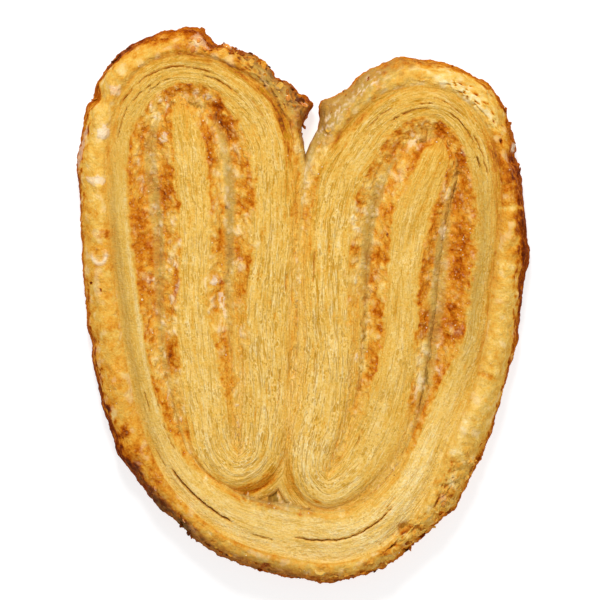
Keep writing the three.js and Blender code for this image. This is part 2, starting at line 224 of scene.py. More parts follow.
# Marks of each kind, from the tip of the left tongue to the tip of the right one:
# place along, place across, length, width, amount, and the drift of some cracks.
MARKS = tuple(Mark(kind, *sizes) for kind, rows in (
    (Kind.TOAST, (
        (7.5, -5.6, 6, 3.2, 0.2), (11, 5.2, 10, 3.4, 0.1), (93.5, -5, 6.5, 3.4, 0.26),
        (175.5, -8.5, 5, 4.5, 0.2), (183, -9.6, 8, 2.6, 0.14), (186, 5.6, 4, 3, 0.14),
        (199, -5, 6, 2.4, 0.12), (202.6, 5, 2, 1.8, 0.16), (207.5, -9.6, 10, 2.2, 0.14),
        (244.8, -3.6, 2.2, 3.2, 0.24), (257, 5.3, 2.6, 2.6, 0.2), (278.5, -6, 5, 3.6, 0.08),
        (283.5, -8.6, 3.4, 2.4, 0.2), (289.8, -6.9, 2.9, 2.7, 0.34), (294.3, -5.4, 3, 2.2, 0.16),
        (297.4, -7, 4, 3, 0.2), (301.5, -5, 5, 2.6, 0.16), (305.5, -7.6, 6, 3, 0.18),
        (312.5, -7.8, 4, 2, 0.2), (337.2, 7, 0.9, 0.9, 0.4), (369.5, -7.4, 4.6, 3, 0.24),
        (404, 5, 2.8, 2.8, 0.12), (412, 6.4, 3.2, 2.4, 0.14), (421, 5.6, 6, 3, 0.1),
        (444.5, -5.8, 8, 5, 0.1), (466, 5.4, 7, 1.8, 0.2), (505, 6.4, 5, 1.6, 0.14),
        (567, -5.4, 6.5, 3, 0.18), (571.5, -3.2, 0.9, 0.9, 0.3), (653, -4.6, 5, 2.4, 0.16),
    )),
    (Kind.GLAZE, (
        (7.7, -5.3, 2.7, 1.8, 0.8), (42.4, 4.9, 2.2, 1.5, 1), (47.2, 6.7, 4.5, 1.5, 0.8),
        (50.5, 7.2, 2.4, 1.1, 0.6), (141, 7, 4, 1.6, 0.35), (191, 5.4, 3.2, 2, 0.55),
        (195.8, -6.5, 3.2, 2.6, 0.35), (213.5, -5, 2.4, 2.6, 0.5), (222, -4.2, 3.4, 2.6, 0.8),
        (226, -8.4, 9, 1, 0.4), (232.6, -5, 2, 3.4, 0.7), (448.6, -8.4, 1.8, 1.2, 0.9),
    )),
    (Kind.PALE, (
        # The long one at 262 is painted highlight, a lit edge along the inner side of the left lobe's cut
        # face.
        (18, 4.8, 6, 2.6, 0.1), (262, 1.7, 66, 1.1, 0.15), (268.2, -5.5, 1.6, 6.5, 0.14),
        (366, 0.2, 22, 3.4, 0.08), (379.5, -6.4, 3, 3, 0.1), (386, -5.6, 2.4, 2.2, 0.1),
        (436.2, -5.6, 1, 6, 0.26), (459, -5.6, 17, 3.8, 0.06), (477, 6, 4, 2.4, 0.12),
        (630, 6.8, 2, 2, 0.16), (657, 2.6, 5, 2.4, 0.14),
    )),
    (Kind.SPECK, (
        (25.6, 7.5, 0.7, 0.7, 1), (39.8, 8.3, 1, 0.7, 0.9), (255.5, -8.1, 0.6, 0.6, 0.9),
        (257.5, -6.1, 0.8, 0.4, 0.8), (637.5, 5, 0.8, 0.6, 1),
    )),
    # Painted shade: patches dulled to olive where shade falls, in the grooves, the creases and under the
    # rim.
    (Kind.DUSK, (
        (30, 8.4, 34, 2, 0.6), (38, -8.6, 56, 2, 0.55), (152, 9.6, 34, 2.4, 0.6),
        (181, -7.8, 18, 5.4, 0.9), (196, -1.6, 9, 1, 0.5), (262, -1.2, 70, 2.4, 0.4),
        (325, -8.6, 46, 6, 0.5), (329, 6.5, 22, 5, 0.5), (421, 1, 50, 2.4, 0.4), (484, -9.2, 28, 6.4, 1.1),
        (506, 8.6, 34, 3, 0.6), (622, -7.6, 60, 1.8, 0.45), (622, 9, 60, 1.6, 0.45),
    )),
    (Kind.CRACK, (
        (112.5, -3.2, 9, 0.35, 0.5, -0.2), (137, 4.9, 4.5, 0.4, 0.4), (137.5, -4.4, 5, 0.6, 0.6),
        (180, -0.8, 9, 0.3, 0.6), (189, 0.9, 12, 0.3, 0.7, 0.4), (203.5, -1.2, 27, 0.4, 1, -2.4),
        (206, 1.7, 9, 0.3, 0.6), (210.5, 0.4, 7, 0.4, 0.7, -1.4), (219, -0.6, 9, 0.3, 0.7),
        (285, 0, 6, 0.3, 0.5), (285.8, 2.4, 6, 0.3, 0.5), (294.5, 2.2, 8, 0.35, 0.6),
        (298.5, -1.7, 5, 0.3, 0.5), (311, -0.95, 20, 0.6, 2.2, -0.5), (328, -2.1, 6, 0.35, 0.6),
        (348.3, 0.4, 29, 0.5, 1.6, 1.4), (361.6, 1.9, 4.5, 0.35, 0.7), (447.5, 1, 3, 0.5, 1.3),
        (449, -0.4, 11, 0.35, 0.9, 0.4), (457, 0.6, 12, 0.35, 0.8), (463, -1, 9, 0.3, 0.7),
        (468, 0.6, 4, 0.35, 0.7), (471, 1.7, 9, 0.3, 0.6), (475, 2, 6.5, 0.35, 0.7),
        (480, -0.6, 9, 0.3, 0.6), (518, -3.4, 8, 0.5, 0.7), (541, -3, 6, 0.35, 0.5),
        (588, 3.4, 6, 0.6, 0.6, 0.5), (599.5, 1.6, 3, 0.7, 0.4),
    )),
    (Kind.HOLE, (
        (179, -7.4, 3.4, 0.9, 0.6), (186, -6, 2.4, 0.7, 0.5), (355.5, -6.2, 4.6, 1.6, 0.8),
        (359.6, -4.6, 2.8, 2.4, 1.1), (361, -6.9, 2.2, 1.3, 0.9), (368, -7.2, 2.6, 1.1, 1.2),
        (371.3, -7.2, 1, 2.7, 1), (398.5, -5.6, 1.2, 5.5, 0.25), (456.5, -4.6, 4, 0.6, 0.4),
        (462, -6.6, 6, 0.6, 0.5), (462.5, 5, 2.4, 1.2, 0.6), (531.5, 8, 1.2, 0.9, 0.6),
        (613.2, 8.5, 2, 1, 0.9),
    )),
    (Kind.CRUMB, (
        (182, -7.6, 20, 6, 0.6), (358, -6.2, 12, 4.6, 0.4), (372, -7.2, 9, 4.2, 0.4),
        (459, -5.6, 18, 3.4, 0.8),
    )),
    (Kind.BUMP, (
        (210.5, -7, 7, 4.5, 0.5), (219, -5.4, 5.5, 5, 0.3), (227.5, -5.6, 6, 5, 0.35),
        (379.5, -6.5, 5, 5, 0.35), (388, -6.5, 9, 6.5, 0.35), (405, -6, 9, 6, 0.3), (420, -6, 14, 6, 0.3),
        (460, -6, 15, 4.6, 0.6),
    )),
    (Kind.DROP, ((249.3, -5.3, 5.4, 4, 0.9),)),
    (Kind.FROST, (
        (478, -8.4, 6, 3.6, 0.8), (487, -8.2, 12, 3.4, 0.8),
    )),
) for sizes in rows)


def smooth(value: Array, low: float, high: float) -> Array:
    """Rises from 0 at low to 1 at high, easing in and out."""
    share = np.clip((value - low) / (high - low), 0, 1)
    return share * share * (3 - 2 * share)


def blend(first: Array, second: Array, share: Array) -> Array:
    """Goes from first to second with the share."""
    return first + (second - first) * share


def profile(along: Array, pairs: tuple[tuple[float, float], ...]) -> Array:
    """Reads a profile at places along the strip."""
    places, amounts = zip(*pairs)
    return np.interp(along, places, amounts)


def knots_at(*spots: tuple[object, object]) -> Array:
    """Stacks knots of the section, each as (distance, height), in every row."""
    return np.stack([np.stack(np.broadcast_arrays(*spot), -1) for spot in spots], axis=1)


def centripetal(
    before: Array, start: Array, end: Array, after: Array, share: Array
) -> Array:
    """A smooth curve from start to end, shaped by the points before and after them.

    Args:
        before: points before the start, last axis the coordinates.
        start: points that the curve leaves.
        end: points that it comes to.
        after: points after the end.
        share: how far along it to look, 0 to 1.

    Returns:
        The points on the curve.
    """

    def root_of_gap(a: Array, b: Array) -> Array:
        """The square root of their distance."""
        return np.maximum(np.sum((a - b) ** 2, axis=-1, keepdims=True) ** 0.25, 1e-4)

    first, middle, last = root_of_gap(before, start), root_of_gap(start, end), root_of_gap(end, after)
    onward = (end - start) / middle
    leaving = ((start - before) / first - (end - before) / (first + middle) + onward) * middle
    coming = (onward - (after - start) / (middle + last) + (after - end) / last) * middle
    square = -3 * start + 3 * end - 2 * leaving - coming
    cube = 2 * start - 2 * end + leaving + coming
    return start + leaving * share + square * share**2 + cube * share**3


class Noise:
    """Seeded smooth noise and scattered cells, the same in each run."""

    SIZE = 256
    REACH = 1.7  # brings the noise to about -1 to 1

    def __init__(self, seed: int) -> None:
        """Draws the tables from the seed.

        Args:
            seed: sets one set of tables apart from another.
        """
        draw = np.random.default_rng(seed)
        self.order = draw.permutation(self.SIZE)
        self.chance = draw.random(self.SIZE)
        slopes = draw.normal(size=(self.SIZE, 3))
        self.slopes = slopes / np.linalg.norm(slopes, axis=1, keepdims=True)

    def _pick(self, i: Array, j: Array, k: Array) -> Array:
        """Shuffles three whole numbers into a place in the tables."""
        last = self.SIZE - 1
        return self.order[(self.order[(self.order[i & last] + j) & last] + k) & last]

    def at(self, u: Array, v: Array, w: Array | float = 0.0) -> Array:
        """Smooth noise of about -1 to 1 with features one unit across.

        Args:
            u: first coordinate.
            v: second coordinate.
            w: third coordinate.

        Returns:
            The noise.
        """
        axes = np.broadcast_arrays(u, v, w)
        cells = [np.floor(axis).astype(np.int64) for axis in axes]
        inside = [axis - cell for axis, cell in zip(axes, cells)]
        ease = [t**3 * (t * (6 * t - 15) + 10) for t in inside]
        total = np.zeros(axes[0].shape)
        for corner in itertools.product((0, 1), repeat=3):
            slopes = self.slopes[self._pick(*(cell + step for cell, step in zip(cells, corner)))]
            rise = sum(slopes[..., n] * (inside[n] - corner[n]) for n in range(3))
            for n in range(3):
                rise = rise * (ease[n] if corner[n] else 1 - ease[n])
            total += rise
        return self.REACH * total

    def layered(
        self, u: Array, v: Array, w: Array | float = 0.0, octaves: int = 3
    ) -> Array:
        """Noise with finer noise laid over it, each time at half the size and strength.

        Args:
            u: first coordinate.
            v: second coordinate.
            w: third coordinate.
            octaves: number of layers.

        Returns:
            The noise.
        """
        total = np.zeros(np.broadcast(u, v, w).shape)
        for octave in range(octaves):
            scale = 2.0**octave
            total += self.at(u * scale + 17.3 * octave, v * scale, w * scale) / scale
        return total

    def cells(self, u: Array, v: Array) -> tuple[Array, Array]:
        """Scatters a point in each unit square.

        Args:
            u: first coordinate.
            v: second coordinate.

        Returns:
            The distance to the nearest point, and that point's own chance, 0 to 1.
        """
        i = np.floor(u).astype(np.int64)
        j = np.floor(v).astype(np.int64)
        nearest = np.full(u.shape, 9.0)
        luck = np.zeros(u.shape)
        for di, dj in itertools.product((-1, 0, 1), repeat=2):
            pick = self._pick(i + di, j + dj, i * 0 + 7)
            du = i + di + self.chance[pick] - u
            dv = j + dj + self.chance[(pick + 101) % self.SIZE] - v
            gap = du * du + dv * dv
            closer = gap < nearest
            nearest = np.where(closer, gap, nearest)
            luck = np.where(closer, self.chance[(pick + 53) % self.SIZE], luck)
        return np.sqrt(nearest), luck


@dataclass
class Lay:
    """Rows across the strip, in order along it.

    Attributes:
        along: place of each row along the strip.
        place: its middle, seen from above.
        inward: direction of its inner side.
        widths: half width of the cut face, reach of the outer side, reach of the inner side.
        rim: share of the outer side that is rim.
        nose: 1 at a tongue's very tip, falling to 0.
    """

    along: Array
    place: Array
    inward: Array
    widths: Array
    rim: Array
    nose: Array

    def rows(self, first: int, last: int) -> "Lay":
        """The rows from first up to last."""
        return Lay(*(getattr(self, name)[first:last] for name in self.__dataclass_fields__))


@dataclass
class StripLine:
    """The middle line of the strip and the widths along it.

    Attributes:
        spacing: distance between rows.
        nose_length: length of each tongue's rounded end.
        lay: the rows.
        station_rows: the row that each station comes before.
    """

    spacing: float = 0.3
    nose_length: float = 3.6
    lay: Lay = field(init=False)
    station_rows: Array = field(init=False)

    def __post_init__(self) -> None:
        """Lays the rows at even distances along the line."""
        table = np.array(STATIONS)
        last = len(table) - 1
        fine = np.linspace(0, last, last * 80 + 1)
        line = self._read(table[:, :2], fine)
        length = np.concatenate([[0], np.cumsum(np.linalg.norm(np.diff(line, axis=0), axis=1))])
        along = np.linspace(0, length[-1], int(length[-1] / self.spacing) + 1)
        station = np.interp(along, length, fine)
        place = self._read(table[:, :2], station)
        heading = np.gradient(place, axis=0)
        heading /= np.linalg.norm(heading, axis=1, keepdims=True)
        tip_distance = np.minimum(
            np.linalg.norm(place - table[0, :2], axis=1), np.linalg.norm(place - table[-1, :2], axis=1)
        )
        self.lay = Lay(
            along=along,
            place=place,
            inward=np.stack([-heading[:, 1], heading[:, 0]], axis=1),
            widths=self._read(table[:, 2:], station),
            rim=smooth(station, FIRST_OF_LOBES - 2, FIRST_OF_LOBES)
            - smooth(station, LAST_OF_LOBES - 1, LAST_OF_LOBES + 1),
            nose=1 - smooth(tip_distance, 0, self.nose_length),
        )
        self.station_rows = np.searchsorted(station, np.arange(last + 1))

    @staticmethod
    def _read(table: Array, station: Array) -> Array:
        """Reads a table smoothly at places between its stations.

        Args:
            table: a row for each station.
            station: places between stations.

        Returns:
            A row for each place.
        """
        ends = np.vstack([2 * table[0] - table[1], table, 2 * table[-1] - table[-2]])
        span = np.clip(np.floor(station).astype(int), 0, len(table) - 2)
        share = (station - span)[:, None]
        return centripetal(ends[span], ends[span + 1], ends[span + 2], ends[span + 3], share)


@dataclass
class Section:
    """The section across the strip, from the outer foot over the top to the inner foot.

    Attributes:
        cut_face: height of the cut face from the tray.
        crown: how far it swells along the middle.
        rim_rise: how far the crust stands over it.
        crease_depth: depth of the fold between the two.
        groove_depth: depth of the sugared grooves.
        under_groove_depth: the same on the underside.
        side_slope: how far a narrow side falls for each millimetre that it reaches out.
        lap: how far the sides run on into their neighbours.
        lap_drop: how far they fall on the way.
        nose_taper: share of the width lost at a tongue's end.
        nose_drop: how far that end dips.
        unevenness: slow rise and fall of the top.
        knots: number of knots around the section.
        middle: the knot in the middle of the cut face.
    """

    cut_face: float = 13.0
    crown: float = 0.3
    rim_rise: float = 0.7
    crease_depth: float = 0.4
    groove_depth: float = 2.8
    under_groove_depth: float = 1.3
    side_slope: float = 0.55
    lap: float = 0.9
    lap_drop: float = 0.7
    nose_taper: float = 0.45
    nose_drop: float = 1.4
    unevenness: float = 0.28
    knots: int = 19
    middle: int = 9

    def _groove_side(self, cut: Array, reach: Array) -> Array:
        """A side that slopes into a sugared groove and runs on into its neighbour.

        Args:
            cut: half width of the cut face in each row.
            reach: reach of the side in each row.

        Returns:
            Its knots, from the cut face down to the foot.
        """
        top = self.cut_face
        drop = np.minimum(self.groove_depth, self.side_slope * reach)
        share = drop / self.groove_depth
        under = self.under_groove_depth * share
        edge = cut + reach
        lap = edge + self.lap * share
        return knots_at(
            (cut, top),
            (cut + 0.3 * reach, top - 0.3 * drop),
            (cut + 0.65 * reach, top - 0.85 * drop),
            (edge, top - drop),
            (lap, top - drop - self.lap_drop),
            (lap, under + self.lap_drop),
            (edge, under),
            (cut + 0.5 * reach, 0.5 * under),
            (cut, 0.0),
        )

    def _rim_side(self, cut: Array, reach: Array) -> Array:
        """A side that is the crust of the rim: up out of the crease, over and down to the tray.

        Args:
            cut: half width of the cut face in each row.
            reach: reach of the side in each row.

        Returns:
            Its knots, from the cut face down to the foot.
        """
        top = self.cut_face
        return knots_at(*((cut + share * reach, height) for share, height in (
            (0.0, top - self.crease_depth),
            (0.22, top + self.rim_rise),
            (0.52, top + 0.5 * self.rim_rise),
            (0.78, top - 2.0),
            (0.95, 0.55 * top),
            (1.0, 0.33 * top),
            (0.98, 0.15 * top),
            (0.9, 0.04 * top),
            (0.72, 0.0),
        )))

    def outline(self, lay: Lay) -> Array:
        """The section's knots in each row, as (distance inwards, height).

        Args:
            lay: the rows.

        Returns:
            The knots, (rows, knots, 2).
        """
        cut, outer, inner = lay.widths.T
        outer_side = blend(self._groove_side(cut, outer), self._rim_side(cut, outer), lay.rim[:, None, None])
        outer_side = outer_side[:, ::-1] * np.array([-1.0, 1.0])
        middle = knots_at((0 * cut, self.cut_face + self.crown))
        return np.concatenate([outer_side, middle, self._groove_side(cut, inner)], axis=1)

    def sample(self, knots: Array, pitches: tuple[float, ...]) -> tuple[Array, Array]:
        """Runs a smooth closed curve through the knots.

        Args:
            knots: the section's knots in each row.
            pitches: distance between points, one for each gap between knots.

        Returns:
            The points in each row as (distance inwards, height), and each one's place among the knots.
        """
        gaps = np.linalg.norm(np.roll(knots, -1, axis=1) - knots, axis=-1).mean(axis=0)
        counts = [max(1, round(gap / pitch)) for gap, pitch in zip(gaps, pitches)]
        span = np.repeat(np.arange(self.knots), counts)
        share = np.concatenate([np.arange(count) / count for count in counts])
        ring = [knots[:, (span + step) % self.knots] for step in (-1, 0, 1, 2)]
        points = centripetal(*ring, share[None, :, None])
        points[..., 1] = np.maximum(points[..., 1], 0)
        return points, span + share

    def stand(self, lay: Lay, flat: Array, knot: Array) -> Array:
        """Stands section points up in space, with the slow waves, the noses and the crags of the crust.

        Args:
            lay: the rows.
            flat: section points as (distance inwards, height).
            knot: place of each point among the knots.

        Returns:
            The points in space.
        """
        inward = lay.inward[:, None]
        nose = lay.nose[:, None]
        reach = flat[..., :1] * (1 - self.nose_taper * nose[..., None])
        spot = lay.place[:, None] + inward * reach
        height = flat[..., 1]
        top = height / self.cut_face
        x, y = spot[..., 0], spot[..., 1]
        wave = np.sin(0.21 * x + 1.3) * np.cos(0.17 * y - 0.4) + 0.5 * np.sin(0.43 * x - 0.37 * y)
        z = height + top * (self.unevenness * wave - self.nose_drop * nose)
        rim = lay.rim[:, None] * (knot < self.middle)
        for crag_x, crag_y, radius, push, lift in CRAGS:
            square = (spot[..., 0] - crag_x) ** 2 + (spot[..., 1] - crag_y) ** 2
            near = np.maximum(0, 1 - square / radius**2) ** 2 * rim
            spot = spot - inward * (push * near)[..., None]
            z = z + lift * near * top
        return np.concatenate([spot, z[..., None]], axis=-1)


@dataclass
class Crumb:
    """The surface of a length of strip while it is worked: where its points are and how they are baked.

    Attributes:
        along: place along the strip, (rows, 1).
        across: place across it, inner side positive.
        girth: distance around the section from the middle of the cut face.
        knot: place among the section's knots.
        points: the points in space before the relief.
        lay: the rows.
        lift: relief, outwards.
        bake: brownness, 0 pale to 1 dark.
        glaze: dried white sugar, which on the crests of lumps and of the rim's swells is partly painted
            highlight.
        dusk: dull olive crumb, and painted shade where it lies in creases, cracks, pits and the floors of
            the grooves.
        gloss: melted sugar.
        leaf: torn leaves of crumb, whose pits the finish adds.
        seat: place across the leaves, which wander.
    """

    along: Array
    across: Array
    girth: Array
    knot: Array
    points: Array
    lay: Lay
    lift: Array = field(init=False)
    bake: Array = field(init=False)
    glaze: Array = field(init=False)
    dusk: Array = field(init=False)
    gloss: Array = field(init=False)
    leaf: Array = field(init=False)
    seat: Array = field(init=False)

    def __post_init__(self) -> None:
        """Starts all layers empty."""
        for name in ("lift", "bake", "glaze", "dusk", "gloss", "leaf", "seat"):
            setattr(self, name, np.zeros(self.across.shape))

    @property
    def cut(self) -> Array:
        """Half width of the cut face in each row."""
        return self.lay.widths[:, :1]

    @property
    def outer_share(self) -> Array:
        """0 at the cut face's outer edge, 1 at the end of the outer side."""
        return (-self.across - self.cut) / self.lay.widths[:, 1:2]

    @property
    def inner_share(self) -> Array:
        """0 at the cut face's inner edge, 1 at the end of the inner side."""
        return (self.across - self.cut) / self.lay.widths[:, 2:3]


@dataclass
class Baker:
    """Raises the relief of a crumb and bakes its colour.

    Attributes:
        fibre: height of the leaves and fibres of the cut face.
        tone: painted light and shade, how much browner their hollows and how much paler their crests are
            painted.
        gap_pitch: distance between the gaps that part the leaves.
        gap_depth: depth of those gaps.
        lump: height of the lumps of sugar in the grooves.
        blister: height of the crust's blisters.
        noise: what all unevenness is read from.
    """

    fibre: float = 0.08
    tone: float = 0.032
    gap_pitch: float = 1.25
    gap_depth: float = 0.26
    lump: float = 0.34
    blister: float = 0.34
    noise: Noise = field(default_factory=lambda: Noise(20260))

    # Knots of the section between which one zone gives way to the next.
    RIM_STARTS = (0.2, 0.9)
    UNDER_ENDS = (0.6, 2.2)
    OUTER_STARTS = (2.6, 3.4)
    CUT_STARTS = (7.6, 8.2)
    RIM_ENDS = (7.75, 8.0)
    CUT_ENDS = (9.8, 10.4)
    INNER_ENDS = (14.6, 15.2)
    UNDER_STARTS = (15.4, 16.6)

    def work(self, crumb: Crumb) -> None:
        """Works all over the crumb: leaves, grooves, rim, underside, then the named marks.

        Args:
            crumb: the surface.
        """
        self._weigh(crumb)
        self._leaves(crumb)
        self._sides(crumb)
        self._rim(crumb)
        self._underside(crumb)
        for mark in MARKS:
            self._mark(crumb, mark)
        crumb.bake = np.clip(crumb.bake, 0, 1)

    def _weigh(self, crumb: Crumb) -> None:
        """Shares the surface among the cut face, the sides, the rim and the underside.

        Args:
            crumb: the surface.
        """
        noise = self.noise
        wander = noise.at(crumb.along / 4.5, crumb.girth / 3, 3.0)
        wander = wander + 0.8 * noise.at(crumb.along / 1.4, crumb.girth / 1.1, 9.0)
        steady = crumb.knot[None, :]
        knot = steady + 0.4 * wander
        rim = crumb.lay.rim[:, None]
        past_cut = smooth(knot, *self.CUT_ENDS)
        before_cut = smooth(knot, *self.CUT_STARTS)
        past_rim = smooth(steady, *self.RIM_ENDS)
        self.on_cut = (1 - past_cut) * blend(before_cut, past_rim, rim)
        self.on_inner = past_cut * (1 - smooth(knot, *self.INNER_ENDS))
        self.on_outer = smooth(knot, *self.OUTER_STARTS) * (1 - before_cut) * (1 - rim)
        self.on_rim = rim * smooth(steady, *self.RIM_STARTS) * (1 - past_rim)
        under = (1 - smooth(steady, *self.UNDER_ENDS)) * (1 - self.on_rim)
        self.on_under = under + smooth(steady, *self.UNDER_STARTS)
        self.sugared_inner = smooth(profile(crumb.along, INNER_BAKE) + 0.08 * wander, 0.37, 0.53)
        self.sugared_outer = smooth(profile(crumb.along, OUTER_BAKE) + 0.08 * wander, 0.38, 0.54)

    def _parting(
        self, along: Array, across: Array, pitch: float, run: float, seed: float
    ) -> Array:
        """Parts dough into leaves that run along the strip.

        Args:
            along: place along the strip.
            across: place across it.
            pitch: distance between the gaps.
            run: length of the gaps.
            seed: sets one parting apart from another.

        Returns:
            How open the gap is, 0 to 1.
        """
        noise = self.noise
        seat = across / pitch
        seam = np.round(seat)
        opening = noise.at(along / run, seam * 3.71, seed)
        opening = opening + 0.5 * noise.at(along / (0.3 * run), seam * 5.3, seed)
        width = 0.15 + 0.07 * noise.at(along / run, seam * 2.9, seed + 3)
        return smooth(opening, 0.15, 0.8) * np.exp(-(((seat - seam) / width) ** 2))

    def fibres(self, along: Array, across: Array) -> Array:
        """Leaves, threads and torn cells of crumb that run along the strip.

        Args:
            along: place along the strip.
            across: place across it.

        Returns:
            Crests above and hollows below zero, spread by about one.
        """
        noise = self.noise
        seat = across + 0.1 * noise.at(along / 2.4, across / 0.9, 2.2)
        folds = noise.at(along / 11, seat / 1.15, 1.7)
        leaves = 0.45 - np.abs(noise.at(along / 3.0, seat / 0.62, 7.7)) * 1.5
        cells = noise.at(along / 1.1, seat / 0.5, 17.7)
        return 2.1 * folds + 1.0 * leaves + 0.8 * cells

    def _leaves(self, crumb: Crumb) -> None:
        """Parts the cut face, and the sides that took no sugar, into leaves and fibres.

        Args:
            crumb: the surface.
        """
        noise = self.noise
        along, girth = crumb.along, crumb.girth
        plain_inner = self.on_inner * (1 - self.sugared_inner)
        plain_outer = self.on_outer * (1 - self.sugared_outer)
        leafy = profile(along, LEAFINESS)
        where = self.on_cut + 0.85 * (plain_inner + plain_outer)
        across = girth + 0.9 * noise.at(along / 30, girth / 9, 1.3)
        across = across + 0.3 * noise.at(along / 8, girth / 3, 4.1)
        fibres = self.fibres(along, across)
        fibres = blend(0.5 * fibres, fibres, leafy)
        crumb.seat = across + 0.16 * noise.at(along / 3.5, girth / 1.3, 5.5)
        wavy = across + 0.12 * noise.at(along / 2.2, girth / 1.2, 2.2)
        gap = self._parting(along, wavy, self.gap_pitch, 6.0, 7.7) * leafy
        hills = noise.at(along / 9, girth / 2.6, 15.5)
        bands = noise.at(along / 24, across / 0.8, 41.3)
        relief = self.fibre * (0.25 + 0.75 * leafy) * fibres - self.gap_depth * gap + 0.12 * hills
        crumb.lift += where * relief
        margin = smooth(np.abs(girth) / np.maximum(crumb.cut, 0.5), 0.62, 1.05)
        wash = noise.layered(along / 6.0, girth / 1.6, 18.8)
        # The fibres' hollows are painted browner and their crests paler: painted shade and light that follow
        # the relief.
        crumb.bake += where * (0.07 * wash + 0.09 * bands * leafy - self.tone * fibres)
        crumb.bake += self.on_cut * (profile(along, CUT_BAKE) + 0.02 + 0.04 * margin)
        # Painted shade: the cut face and the rim are browned in the crease between them, where the rim
        # shades it.
        beside = -girth / np.maximum(crumb.cut, 0.5) + 0.08 * noise.at(along / 3, girth / 1.5, 12.2)
        crease_shade = smooth(beside, 0.4, 0.82) * (1 - smooth(beside, 1.02, 1.22))
        crease_shade = crease_shade * (0.75 + 0.7 * wash)
        crumb.bake += (self.on_cut + self.on_rim) * profile(along, CREASE_SHADE) * crease_shade
        # The gaps between the leaves are painted browner: painted shade in them.
        crumb.bake += where * 0.17 * gap
        # The cut face is dulled along its profile: painted shade on the lobes beside the rim.
        crumb.dusk += self.on_cut * profile(along, CUT_DULL_AND_SHADE)
        crumb.leaf += where * leafy

    def caramel(self, x: Array, y: Array) -> tuple[Array, Array, Array]:
        """Lumps of caramelised sugar, the same for whatever lies there.

        Args:
            x: place from side to side.
            y: place from foot to lobes.

        Returns:
            The height of the lumps, how much browner they are with painted light on their crests and painted
            shade between them, and the white sugar left on the crests, which is partly painted highlight.
        """
        noise = self.noise
        bend = 0.5 * noise.at(x / 1.8, y / 1.8, 6.1)
        gap_wide, luck_wide = noise.cells(x / 2.1 + bend, y / 2.7 - bend)
        gap_fine, luck_fine = noise.cells(x / 1.0 + bend, y / 1.2 - bend)
        dome = np.clip(1 - gap_wide**2 * 1.5, 0, 1) * (0.3 + 0.7 * luck_wide)
        grain = np.clip(1 - gap_fine**2 * 1.8, 0, 1) * (0.2 + 0.8 * luck_fine)
        roll = noise.layered(x / 3.0, y / 4.5, 11.0)
        mottle = noise.layered(x / 1.6, y / 2.2, 21.0)
        height = self.lump * (dome - 0.4) + 0.4 * (grain - 0.3) + 0.14 * roll + 0.05 * mottle
        crest = 0.55 * dome + 0.45 * grain
        patch = noise.layered(x / 5.0, y / 8.0, 71.0)
        # Crests are painted paler and hollows browner: painted light and shade on the lumps, over their
        # patchy browning.
        browner = 0.03 * mottle - 0.24 * (crest - 0.35) - 0.05 * roll + 0.18 * patch
        crusted = smooth(noise.layered(x / 2.8, y / 4.0, 44.0) - 0.5 * patch, 0.0, 0.6)
        # White sugar is left on the crests, and there it also serves as painted highlight.
        return height, browner, 0.7 * crusted * smooth(crest, 0.24, 0.66)

    def _sides(self, crumb: Crumb) -> None:
        """Lays the lumpy caramelised sugar down both sides of the grooves.

        Args:
            crumb: the surface.
        """
        noise = self.noise
        along, girth = crumb.along, crumb.girth
        height, browner, white = self.caramel(crumb.points[..., 0], crumb.points[..., 1])
        streak = noise.at(along / 6, girth / 1.3, 2.5)
        frost = profile(along, FROSTING)
        for weight, share, sugared, table in (
            (self.on_inner, crumb.inner_share, self.sugared_inner, INNER_BAKE),
            (self.on_outer, crumb.outer_share, self.sugared_outer, OUTER_BAKE),
        ):
            base = profile(along, table)
            base = base - sugared * 0.42 * np.maximum(base - 0.46, 0)
            vivid = 2.2 - 1.2 * smooth(base, 0.48, 0.64)
            floor = smooth(share + 0.08 * noise.at(along / 2.5, girth / 2, 14.1), 0.7, 0.84)
            brim = np.exp(-(((share - 0.05) / 0.1) ** 2))
            crumb.lift += weight * sugared * (height + 0.06 * streak)
            toned = base + sugared * (vivid * browner + 0.05 * streak + 0.09 * brim)
            crumb.bake += weight * (toned - 0.6 * sugared * np.maximum(toned - 0.66, 0))
            crumb.gloss += weight * sugared * 0.8
            # White sugar on the crests of the lumps, partly painted highlight.
            crumb.glaze += weight * sugared * white * frost
            # The floor of the groove is dulled toward olive: painted shade at its bottom. The caramel is
            # thinner there, so it is paler too.
            crumb.dusk += weight * floor * (0.25 + 0.4 * sugared)
            crumb.bake -= weight * floor * sugared * 0.08

